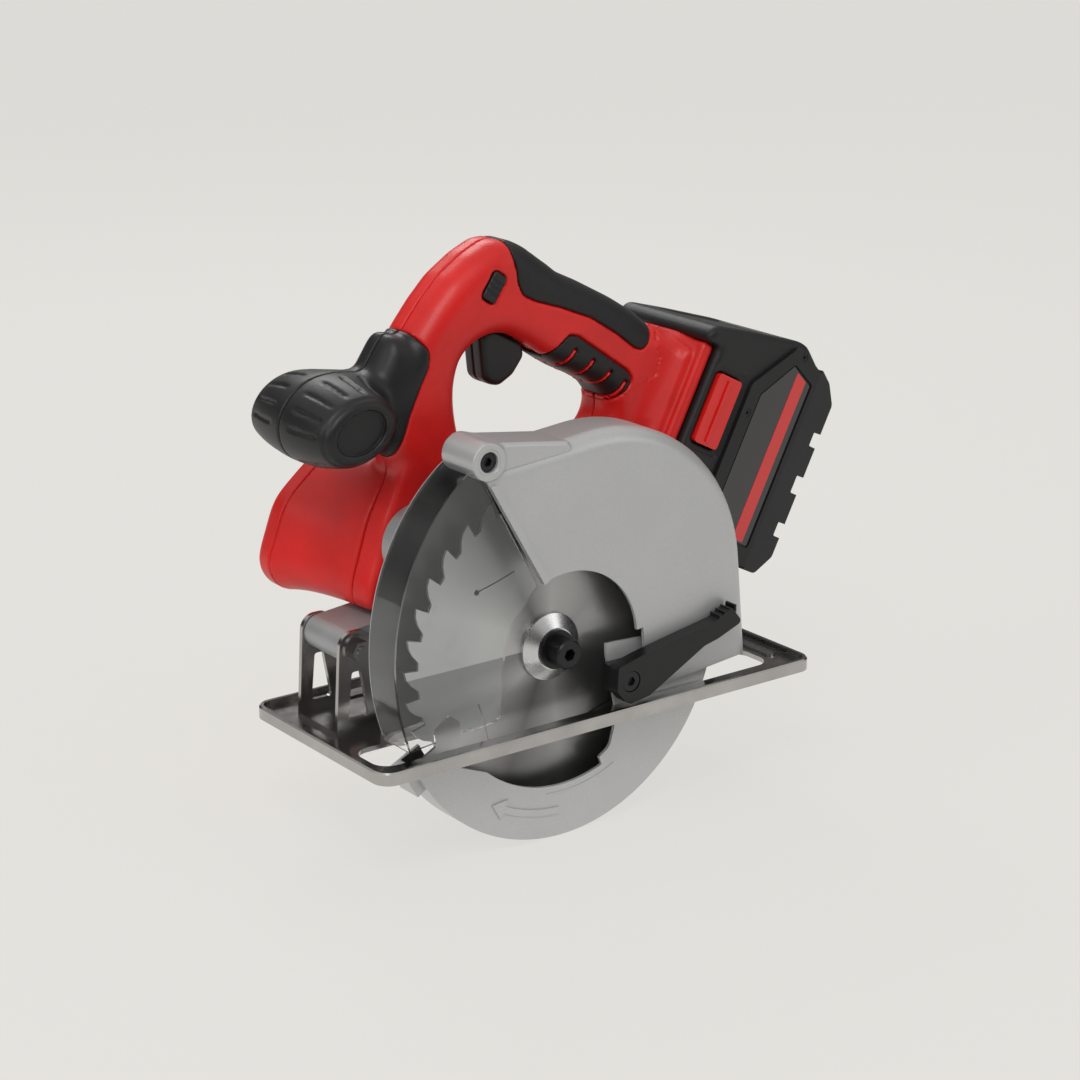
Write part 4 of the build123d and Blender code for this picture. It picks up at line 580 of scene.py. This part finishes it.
BARREL_FRONT = 38.4
MOTOR = (-48.0, 60.0)        # axis of the motor
VENTS = 7
VENT_PITCH = 6.0
SCREWS = ((-4, 168), (78, 148), (-36, 118), (82, 76), (30, 74))
SCREW_RADIUS = 3.5
SKIN = 2.4                   # depth of the seat under a grip
HANDLE_HALF = 18.0           # half the width of the handle
SLEEVE = [(-115, 196), (-62, 184), (-42, 172.5), (-36, 163.5), (-31, 155), (-33, 147), (-38, 140),
          (-47, 125), (-52, 112), (-60, 92), (-115, 92)]
TRIGGER_WELL = grip((-82, 123), (-82, 139), (-38, 139), (-36, 123))
TOP_GRIP = [(23, 215), (23.5, 188), (25.5, 178)] + grip(
    (-82, 170.5), (-77, 163), (-70, 157.4), (-61, 157.4), (-45, 160), (-24, 162), (-5, 160.4),
    (11, 157.6), (16, 158.6), (18, 163), (19, 172), (20, 195))
LOWER_GRIP = grip((-33, 149.6), (-28, 151), (-10, 148.6), (12, 145.6), (17, 142.6), (16, 136),
                  (13, 130), (10, 118), (-50, 118), (-48, 130), (-40, 135))
FINGER_SLOTS = ((-25.5, 144, -29.5, 120), (-12, 143, -16, 120), (1.4, 141.5, -2.6, 120),
                (13.2, 140, 10, 120))
FINGER_SLOT_HALF = 0.9       # half the width of a slot
HANDLE_ROUND = 13.0          # rounding of the handle's long edges
OPENING_ROUND = 9.0          # rounding of the hand opening's rim
FLANGE_HALF = 34.4           # half the width of the battery's flange
BAND_HALF = 29.5             # half the width of the raised band before it


def handle_body(block):
    """Arm, grip, neck and bridge round the hand opening as one solid, both halves."""
    loop = block.flat([*LOOP, *grip(*LOOP_GRIP, *LOOP_REAR), *UNDER], 5.0)
    hole = block.flat(curve_through(HOLE))
    body = block.prism(np.maximum(loop, -hole), SEAM - HANDLE_HALF, SEAM + HANDLE_HALF,
                       HANDLE_ROUND)
    through = block.prism(hole, 0.0, 110.0)
    return cut(body, through + 1.0, OPENING_ROUND)


def slot_flat(block):
    """Slanted slots that show the red housing between the lower grip's pads."""
    half = FINGER_SLOT_HALF
    return np.minimum.reduce([
        block.flat(grip((u0 - half, v0), (u0 + half, v0), (u1 + half, v1), (u1 - half, v1)))
        for u0, v0, u1, v1 in FINGER_SLOTS])


def housing_field(block):
    """The red housing before its halves are parted and the seams cut."""
    body = handle_body(block)
    neck = block.flat(grip((24, 170), (44, 172), (44, 100), (30, 126)))
    body = join(body, block.prism(neck, 30.0, 74.0, 12.0), 8.0)
    flange = block.prism(block.flat(grip((39.5, 175), (46.7, 175), (46.7, 92), (39.5, 92)), 1.5),
                         SEAM - FLANGE_HALF, SEAM + FLANGE_HALF, 2.6)
    band = block.prism(block.flat(grip((36, 168), (40.5, 170), (40.5, 98), (36, 100)), 1.5),
                       SEAM - BAND_HALF, SEAM + BAND_HALF, 4.0)
    body = join(body, join(flange, band, 2.0), 11.0)
    line = block.flat(grip((23, 176), (22, 168), (27, 158), (28.5, 150), (23, 141), (14, 131),
                           (4, 127), (4, 90), (90, 90), (90, 176)))
    body = groove(body, line[:, None, :])
    share = (block.y - SEAM) / (COVER_Y - SEAM)
    section = (block.flat(BARREL_SEAM, 7.0)[:, None, :] * (1 - share)
               + block.flat(BARREL_END, 11.0)[:, None, :] * share)
    barrel = meet(section * 0.93, block.above(BARREL_FRONT), 4.0)
    return join(body, barrel, 7.0)


def groove(field, line, width=0.3, depth=0.8):
    """A thin groove in a surface, along where a field changes sign."""
    return cut(field, np.maximum(abs(line) - width, -(field + depth)), 0.2)


# ---- operators -----------------------------------------------------------------------------------
class SAW_OT_finishes(bpy.types.Operator):
    """Make every finish and give each CAD piece its own"""

    bl_idname = "saw.finishes"
    bl_label = "Finishes"

    def execute(self, context):
        colours = context.scene.saw_colours
        moulded("housing red", tuple(colours.red), 0.40, 1500.0, 0.00009, coat=0.1, edge_wear_and_highlight=0.3)
        moulded("latch red", scaled(tuple(colours.red), 1.05), 0.30, 900.0, 0.00003, coat=0.3)
        moulded("soft grip", tuple(colours.black), 0.50, 1700.0, 0.00012, edge_wear_and_highlight=0.3, sheen=0.05)
        moulded("handle black", tuple(colours.black), 0.42, 1500.0, 0.00009, coat=0.05, edge_wear_and_highlight=0.3)
        moulded("pack black", tuple(colours.pack), 0.44, 1300.0, 0.00014, edge_wear_and_highlight=0.3)
        moulded("frame black", tuple(colours.pack), 0.46, 1300.0, 0.00012)
        moulded("pack base", scaled(tuple(colours.pack), 1.7), 0.50, 1200.0, 0.00012)
        moulded("lever black", scaled(tuple(colours.black), 0.8), 0.36, 1200.0, 0.00007)
        moulded("inner black", (0.03, 0.03, 0.03), 0.5, 900.0, 0.00005)
        moulded("cell wrap", (0.05, 0.20, 0.12), 0.32, 500.0, 0.00003, coat=0.3)
        moulded("cell holder", (0.55, 0.54, 0.50), 0.55, 700.0, 0.00006)
        moulded("carbon", (0.03, 0.03, 0.03), 0.7, 800.0, 0.0001)
        moulded("ferrite", (0.07, 0.07, 0.075), 0.6, 600.0, 0.0001)
        guard_paint("guard silver", tuple(colours.silver))
        guard_paint("lower guard silver", scaled(tuple(colours.silver), 1.12))
        blade_steel("blade steel", (0.56, 0.56, 0.56))
        clear_plastic("clear window", (0.96, 0.98, 0.98))
        metal("bright plate", tuple(colours.steel), 0.19, scale=160.0, depth=0.00005, grime=0.35)
        metal("cast grey", (0.42, 0.43, 0.44), 0.5, 0.6, 420.0, 0.00012, grime=0.2)
        metal("turned steel", (0.68, 0.68, 0.69), 0.27, scale=900.0, stretch=(1, 6, 1), spread=0.16)
        metal("black steel", (0.035, 0.035, 0.037), 0.36, 0.8, 900.0, 0.00003)
        metal("gear steel", (0.40, 0.40, 0.41), 0.34, scale=500.0)
        metal("spring steel", (0.5, 0.5, 0.5), 0.3, scale=800.0)
        metal("laminations", (0.25, 0.25, 0.27), 0.45, scale=300.0, stretch=(1, 30, 1),
              depth=0.0001)
        windings("copper")
        board("board green")
        label_finish("label black", (0.012, 0.012, 0.013))
        label_finish("label red", scaled(tuple(colours.red), 0.95))
        given = {
            "housing red": "housing_left housing_right motor_cap",
            "soft grip": "top_grip lower_grip",
            "handle black": "front_handle_left front_handle_right trigger lock_off_button",
            "pack black": "battery_case", "frame black": "side_frames", "pack base": "battery_base",
            "latch red": "latch_left latch_right",
            "lever black": "guard_lever depth_lever spindle_lock_button",
            "inner black": "switch_body terminal_block brush_holders motor_fan",
            "cell wrap": "battery_cells", "cell holder": "cell_carrier",
            "carbon": "carbon_brushes", "ferrite": "motor_magnets",
            "guard silver": "upper_guard guard_pin", "lower guard silver": "lower_guard",
            "blade steel": "blade", "clear window": "clear_window",
            "bright plate": "shoe shoe_bracket depth_bracket hinge_bolt hinge_nut depth_bolt",
            "cast grey": "gear_case gear_case_cover",
            "turned steel": "outer_flange inner_flange",
            "black steel": "bolt_washer blade_bolt window_screw lever_screw battery_screws "
                           "housing_screws",
            "gear steel": "spindle drive_gear intermediate_shaft intermediate_gear motor_shaft "
                          "bearings motor_can",
            "spring steel": "trigger_spring spindle_lock_spring lower_guard_spring latch_springs",
            "laminations": "armature", "copper": "commutator", "board green": "battery_board",
        }
        for material, names in given.items():
            for name in names.split():
                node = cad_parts[name]
                for item in node.material_slots:
                    item.link = "OBJECT"
                    item.material = bpy.data.materials[material]
        return {"FINISHED"}


class SAW_OT_housing(bpy.types.Operator):
    """Both halves of the red housing, with their seams"""

    bl_idname = "saw.housing"
    bl_label = "Housing"

    def execute(self, context):
        sizes = context.scene.saw_sizes
        for name, low_y, high_y in (("left", 17.0, 52.5), ("right", 51.5, 102.0)):
            block = Block((-100, low_y, 27), (138, high_y, 202), sizes.sampling)
            field = housing_field(block)
            if name == "right":
                field = meet(field, block.below(COVER_Y))
            low = np.maximum(block.flat(LOWER_GRIP, 2.0), -slot_flat(block))
            for flat in (block.flat(TOP_GRIP, 2.0), low, block.flat(SLEEVE, 2.0)):
                skin = np.maximum(flat[:, None, :] - sizes.seam, -(field + SKIN))
                field = cut(field, skin, 0.2)
            field = cut(field, block.prism(block.flat(TRIGGER_WELL, 2.0), 42.8, 61.2, 1.0), 0.5)
            button = block.flat(lock_points(0.45), 1.0)
            field = cut(field, block.prism(button, 30.0, 75.0, 0.4), 0.5)
            if name == "right":
                for x, z in SCREWS:
                    hole = np.hypot(block.x - x, block.z - z) - SCREW_RADIUS
                    field = cut(field, np.maximum(hole, block.above(62.0)), 0.5)
                gap = block.above(SEAM + sizes.seam)
            else:
                gap = block.below(SEAM - sizes.seam)
            block.mesh("shell_" + name, meet(field, gap, 0.5), body_matrix(), "housing red", "saw",
                       ("housing_" + name,), "red_plastic")
        block = Block((-100, 99, 27), (8, 118, 100), sizes.sampling)
        flat = block.flat(BARREL_END, 11.0)
        cover = block.prism(flat, COVER_Y - 12, COVER_END, 5.5)
        cover = np.maximum(cover, block.above(COVER_Y + 0.3))
        inside = block.prism(flat + COVER_WALL, COVER_Y - 12, COVER_END - COVER_WALL, 3.0)
        cover = cut(cover, inside)
        for index in range(VENTS):
            level = MOTOR[1] + (index - VENTS // 2) * VENT_PITCH
            slot = np.maximum(abs(block.x - MOTOR[0]) - 22.0, abs(block.z - level) - 1.2)
            cover = cut(cover, np.maximum(slot, block.above(COVER_Y + 5)), 0.4)
        block.mesh("end_cover", cover, body_matrix(), "housing red", "saw", ("motor_cap",),
                   "red_plastic")
        return {"FINISHED"}


LOCK = (10.0, 178.0)         # middle of the safety button
LOCK_TURN = math.radians(50)
LOCK_HALF = (7.5, 4.2)       # half its length and half its height


def lock_points(grow):
    """Corners of the safety button, turned to the arm."""
    out = []
    for right, up in ((-1, -1), (1, -1), (1, 1), (-1, 1)):
        a = right * (LOCK_HALF[0] + grow)
        b = up * (LOCK_HALF[1] + grow)
        out.append((LOCK[0] + a * math.cos(LOCK_TURN) - b * math.sin(LOCK_TURN),
                    LOCK[1] + a * math.sin(LOCK_TURN) + b * math.cos(LOCK_TURN)))
    return out


class SAW_OT_grips(bpy.types.Operator):
    """Soft grips on top of the handle and in the hand opening"""

    bl_idname = "saw.grips"
    bl_label = "Grips"

    def execute(self, context):
        sizes = context.scene.saw_sizes
        block = Block((8, 33, 94), (122, 71, 202), sizes.sampling * 0.9)
        body = handle_body(block)
        shell = np.maximum(body + 0.2, -(body + 2.2))
        top = block.flat(TOP_GRIP, 2.0)[:, None, :] + sizes.seam
        field = meet(shell, top, 1.0)
        rib = abs(block.flat(grip((-70, 168), (-20, 169), (14, 166), (14, 220), (-70, 220)), 3.0))
        field = cut(field, np.maximum(rib[:, None, :] - 0.5, -(body + 0.35)), 0.3)
        block.mesh("soft_grip_top", field, body_matrix(), "soft grip", "saw", ("top_grip",),
                   "black_grip")
        low = np.maximum(block.flat(LOWER_GRIP, 2.0), -slot_flat(block) + 0.1)
        field = meet(shell, low[:, None, :] + sizes.seam, 1.6)
        field = cut(field, block.prism(block.flat(TRIGGER_WELL), 42.6, 61.4, 1.0), 0.5)
        block.mesh("soft_grip_lower", field, body_matrix(), "soft grip", "saw", ("lower_grip",),
                   "black_grip")
        return {"FINISHED"}


KNOB = (-84.8, 131.0)        # axis of the front handle's barrel
KNOB_HALF = 36.6             # half its length
KNOB_TURN = math.radians(12)
GROOVES = (38, 62, 86, 110, 134, 158, -150, -126, -102, -78, -54, -30)


def knob_field(block, groove_depth):
    """The barrel of the front handle: an oval section, dished ends and long grooves."""
    off = abs(block.y - SEAM)
    t = (block.y - SEAM) / 37.0
    wide = 25.5 - 4.6 * t * t - 0.8 * t ** 4
    high = 21.5 - 6.4 * t * t - 0.8 * t ** 4
    dx, dz = block.x - KNOB[0], block.z - KNOB[1]
    a = dx * math.cos(KNOB_TURN) + dz * math.sin(KNOB_TURN)
    b = dz * math.cos(KNOB_TURN) - dx * math.sin(KNOB_TURN)
    q = np.sqrt((a / wide) ** 2 + (b / high) ** 2) + 1e-6
    body = (q - 1) * np.sqrt(wide * high) * 0.95
    body = meet(body, off - KNOB_HALF, 6.0)
    body = cut(body, np.maximum((q - 0.66) * 14.0, KNOB_HALF - 3.0 - off), 2.6)
    angle = np.degrees(np.arctan2(b / high, a / wide))
    along = np.clip((30.0 - off) / 4.0, 0, 1) * np.clip((off - 7.0) / 3.0, 0, 1)
    cutters = 0
    for middle in GROOVES:
        near = np.clip(1 - abs((angle - middle + 180) % 360 - 180) / 3.6, 0, 1)
        cutters = np.maximum(cutters, near)
    ring = np.clip(1 - abs(off - 33.0) / 1.2, 0, 1) * 0.5
    return body + cutters * along * groove_depth + ring


class SAW_OT_front_handle(bpy.types.Operator):
    """Black front handle and its sleeve round the arm, in two halves"""

    bl_idname = "saw.front_handle"
    bl_label = "Front handle"

    def execute(self, context):
        sizes = context.scene.saw_sizes
        for name, low_y, high_y in (("left", 14.0, 52.5), ("right", 51.5, 90.0)):
            block = Block((-114, low_y, 98), (-24, high_y, 176), sizes.sampling * 0.9)
            knob = knob_field(block, sizes.groove)
            neck = block.flat([(-46, 166), (-37, 160), (-36, 146), (-42, 130), (-50, 114),
                               (-62, 108), (-78, 112), (-86, 128), (-78, 146), (-60, 149)], 6.0)
            neck = block.prism(neck, 36.0, 68.0, 12.0)
            arm = handle_body(block)
            sleeve = meet(arm - 0.9, block.flat(SLEEVE, 2.0)[:, None, :] + sizes.seam, 1.2)
            body = join(join(neck, sleeve, 5.0), knob, 9.0)
            body = cut(body, arm + 2.2, 0.1)
            gap = (block.below(SEAM - sizes.seam) if name == "left"
                   else block.above(SEAM + sizes.seam))
            block.mesh("knob_" + name, meet(body, gap, 0.9), body_matrix(), "handle black", "saw",
                       ("front_handle_" + name,), "black_grip")
        return {"FINISHED"}


RIB_HALF = 0.7               # half the width of the groove down the trigger's middle
RIB_DEPTH = 0.6


class SAW_OT_trigger(bpy.types.Operator):
    """Trigger with its finger curve and the safety button"""

    bl_idname = "saw.trigger"
    bl_label = "Trigger and safety button"

    def execute(self, context):
        step = context.scene.saw_sizes.sampling * 0.6
        block = Block((-12, 41, 118), (44, 63, 168), step)
        points = grip((-78.5, 131), (-72, 137), (-52, 137), (-47.5, 131), (-49.5, 120), (-55, 112),
                      (-61, 110.6), (-66, 112), (-71, 119.5))
        face = block.prism(block.flat(points, 3.0), 43.2, 60.8, 3.2)
        rib = abs(block.y - SEAM) - RIB_HALF
        face = cut(face, np.maximum(rib, -(face + RIB_DEPTH)), 0.3)
        stem = block.flat(grip((-70, 135), (-70, 146), (-56, 146), (-56, 135)))
        stem = block.prism(stem, 47, 57, 1)
        block.mesh("finger_trigger", join(face, stem, 1.0), body_matrix(), "handle black",
                   "trigger", ("trigger",), "black_grip")
        block = Block((-4, 31.5, 164), (24, 67, 192), step)
        button = block.prism(block.flat(lock_points(0), 1.6), 33.0, 66.5, 1.2)
        along = ((block.x - LOCK[0]) * math.cos(LOCK_TURN)
                 + (block.z - LOCK[1]) * math.sin(LOCK_TURN))
        for shift in (-3.0, 0.0, 3.0):
            line = abs(along - shift)
            button = cut(button, np.maximum(line - 0.5, block.y - 33.8), 0.2)
        block.mesh("safety_button", button, body_matrix(), "handle black", "lock_off",
                   ("lock_off_button",), "black_grip")
        return {"FINISHED"}


PACK_HALF = 39.0             # half the width of the battery case
CASE = ((37, 175), (37, 180), (40, 184.5), (63, 189.5), (100, 196.6), (106, 196), (119, 188),
        (119, 73), (71, 73), (60, 78), (50, 89), (47, 103), (47, 175))


class SAW_OT_battery(bpy.types.Operator):
    """Battery case with its raised top panel, latch recesses and side labels"""

    bl_idname = "saw.battery"
    bl_label = "Battery"

    def execute(self, context):
        sizes = context.scene.saw_sizes
        block = Block((84, 11, -8), (204, 93, 146), sizes.sampling * 1.1)
        flat = block.flat(grip(*CASE), 2.0)
        case = block.prism(flat, SEAM - PACK_HALF, SEAM + PACK_HALF, 3.4)
        across = block.x * math.sin(SLOPE) + block.z * math.cos(SLOPE)
        along = block.x * math.cos(SLOPE) - block.z * math.sin(SLOPE)
        panel = block.prism(block.flat(grip((52, 170), (52, 230), (98, 230), (98, 170)), 3.0),
                            24.0, 80.0, 3.0)
        case = cut(case, np.maximum(panel, -(flat[:, None, :] + 1.1)), 0.8)
        for front, half in ((34, 17.3), (49.7, 22.3)):
            room = np.maximum.reduce(np.broadcast_arrays(
                front - along, along - 53.3, 70 - across, across - 166.3,
                abs(block.y - SEAM) - half))
            case = cut(case, room, 0.1)
        latch = block.flat(grip((51.3, 124.2), (69.7, 124.2), (69.7, 163.8), (51.3, 163.8)), 1.5)
        for y0, y1 in ((5.0, 26.5), (77.5, 99.0)):
            case = cut(case, block.prism(latch, y0, y1, 0.3), 0.6)
        rim = block.flat(grip((49, 121), (73, 121), (73, 167), (49, 167)), 3.0)
        for y0, y1 in ((5.0, 14.0), (90.0, 99.0)):
            case = cut(case, block.prism(rim, y0, y1, 0.3), 0.5)
        block.mesh("pack_case", case, body_matrix(), "pack black", "battery", ("battery_case",),
                   "black_plastic")
        label = grip((84, 101), (84, 161.5), (99.5, 183), (115, 177), (115, 85), (97.5, 85))
        stripe = grip((103, 86), (111, 86), (111, 178), (103, 180.8))
        for y0, y1, lift, name in ((11.5, 12.1, 11.36, "near"), (92.5, 91.9, 92.64, "far")):
            plate("pack_label_" + name, label, y0, y1, body_matrix(), "label black", "battery",
                  0.15)
            plate("pack_stripe_" + name, stripe, lift, y0 + (y1 - y0) * 0.2, body_matrix(),
                  "label red", "battery", 0.05)
        return {"FINISHED"}


BOSS = (-38, 112)            # screw boss at the top of the upper guard
BOSS_RADIUS = 9.4
BOSS_SEAT = 6.1              # radius of the screw head's seat
BOSS_HOLE = 2.6
LOWER_FACE = -13.1           # just inside the lower guard's outer face
ARROW = 86.0                 # radius of the arrow's outer line


class SAW_OT_guards(bpy.types.Operator):
    """Raised arrow and line on the lower guard, screw boss on the upper guard"""

    bl_idname = "saw.guards"
    bl_label = "Guard details"

    def execute(self, context):
        outline = arc(ARROW, 268, 244, 12)
        outline += [around(ARROW + 3.4, 243.6), around(ARROW - 1.8, 238.0),
                    around(ARROW - 7.4, 243.6)]
        outline += arc(ARROW - 3.6, 244, 268, 12)
        plate("guard_arrow", outline, LOWER_FACE - 1.0, LOWER_FACE, level_matrix(),
              "lower guard silver", "swing_guard", 0.2)
        block = Block((-52, -20, 96), (22, 11.5, 126), context.scene.saw_sizes.sampling * 0.6)
        away = np.hypot(block.x - BOSS[0], block.z - BOSS[1])
        boss = np.maximum(away - BOSS_RADIUS, abs(block.y + 5.3) - 13.5)
        ramp = block.flat([(-40, 104), (-38, 121), (-29, 119.2), (12, 109.3), (14, 103)], 2.0)
        boss = join(boss, block.prism(ramp, -17.4, 9.0, 2.5), 3.0)
        boss = cut(boss, np.maximum(away - BOSS_SEAT, block.below(-12.6)), 0.8)
        boss = cut(boss, away - BOSS_HOLE)
        block.mesh("guard_boss", boss, body_matrix(), "guard silver", "saw", (), "guard_paint")
        line = arc(75.2, 262, 296, 20) + arc(74.4, 296, 262, 20)
        plate("guard_line", line, LOWER_FACE - 0.4, LOWER_FACE, level_matrix(),
              "lower guard silver", "swing_guard", 0.1)
        return {"FINISHED"}


# ---- stage ---------------------------------------------------------------------------------------
SKY_LEVELS = ((0.0, 0.35), (0.16, 0.06), (0.40, 0.12), (0.52, 0.95), (1.0, 1.0))
LAMPS = (("key", (-0.9, -0.9, 1.5), 0.7, 11.0), ("fill", (1.1, -1.2, 0.7), 0.8, 3.0),
         ("rim", (0.5, 1.3, 1.2), 0.7, 7.0), ("front", (-1.4, 0.1, 0.8), 0.5, 3.5))
AIM = (0.03, 0.03, 0.09)     # what the lamps point at
EYE = (-0.7390, -0.9858, 0.4839)
LENS = 86.7                  # focal length over a 36 mm sensor
HEADING = math.radians(36.68)
DIP = math.radians(17.60)    # the camera looks down by this


def sky(world, colour):
    """Studio surround: bright overhead, dim at the sides, so that metal has something to show."""
    g = Graph(world, "Generated")
    stops = [(at, scaled(colour, level)) for at, level in SKY_LEVELS]
    tone = g.add("ShaderNodeValToRGB", {"stops": stops}, {"Fac": g.split(g.place)[2]})
    g.end("ShaderNodeOutputWorld",
          g.add("ShaderNodeBackground", {}, {"Color": tone, "Strength": 0.95}))


class SAW_OT_stage(bpy.types.Operator):
    """Pale floor, soft lights and the camera"""

    bl_idname = "saw.stage"
    bl_label = "Stage"

    def execute(self, context):
        scene = context.scene
        colour = tuple(scene.saw_colours.card)
        floor_finish("pale card", colour)
        half = scene.saw_sizes.floor / 2
        level = CAD_BOX[0][2] - 0.0005
        mesh = bpy.data.meshes.new("floor")
        mesh.from_pydata([(-half, -half, level), (half, -half, level), (half, half, level),
                          (-half, half, level)], [], [(0, 1, 2, 3)])
        mesh.materials.append(bpy.data.materials["pale card"])
        floor = bpy.data.objects.new("floor", mesh)
        scene.collection.objects.link(floor)
        world = bpy.data.worlds.new("studio")
        sky(world, colour)
        scene.world = world
        for name, at, size, power in LAMPS:
            light = bpy.data.lights.new(name, "AREA")
            light.energy = power
            light.size = size
            lamp = bpy.data.objects.new(name, light)
            lamp.location = at
            view = Vector(AIM) - lamp.location
            lamp.rotation_euler = view.to_track_quat("-Z", "Y").to_euler()
            scene.collection.objects.link(lamp)
        camera = bpy.data.cameras.new("camera")
        camera.lens = LENS
        camera.sensor_width = 36.0
        eye = bpy.data.objects.new("camera", camera)
        eye.location = EYE
        view = Vector((math.sin(HEADING) * math.cos(DIP), math.cos(HEADING) * math.cos(DIP),
                       -math.sin(DIP)))
        eye.rotation_euler = view.to_track_quat("-Z", "Y").to_euler()
        scene.collection.objects.link(eye)
        scene.camera = eye
        scene.view_settings.view_transform = "Standard"
        return {"FINISHED"}


class SAW_PT_panel(bpy.types.Panel):
    """Sidebar panel with the saw's settings and its pieces"""

    bl_idname = "SAW_PT_panel"
    bl_label = "Cordless saw"
    bl_space_type = "VIEW_3D"
    bl_region_type = "UI"
    bl_category = "Saw"

    def draw(self, context):
        for group in (context.scene.saw_colours, context.scene.saw_sizes):
            for name in group.__annotations__:
                self.layout.prop(group, name)
        for operator in OPERATORS:
            self.layout.operator(operator.bl_idname)


OPERATORS = (SAW_OT_finishes, SAW_OT_housing, SAW_OT_grips, SAW_OT_front_handle, SAW_OT_trigger,
             SAW_OT_battery, SAW_OT_guards, SAW_OT_stage)
CLASSES = (SawColours, SawSizes, *OPERATORS, SAW_PT_panel)


def register():
    for cls in CLASSES:
        bpy.utils.register_class(cls)
    bpy.types.Scene.saw_colours = bpy.props.PointerProperty(type=SawColours)
    bpy.types.Scene.saw_sizes = bpy.props.PointerProperty(type=SawSizes)


def unregister():
    del bpy.types.Scene.saw_sizes
    del bpy.types.Scene.saw_colours
    for cls in reversed(CLASSES):
        bpy.utils.unregister_class(cls)


def main():
    register()
    for operator in OPERATORS:
        group, name = operator.bl_idname.split(".")
        getattr(getattr(bpy.ops, group), name)()


if __name__ == "__main__":
    main()
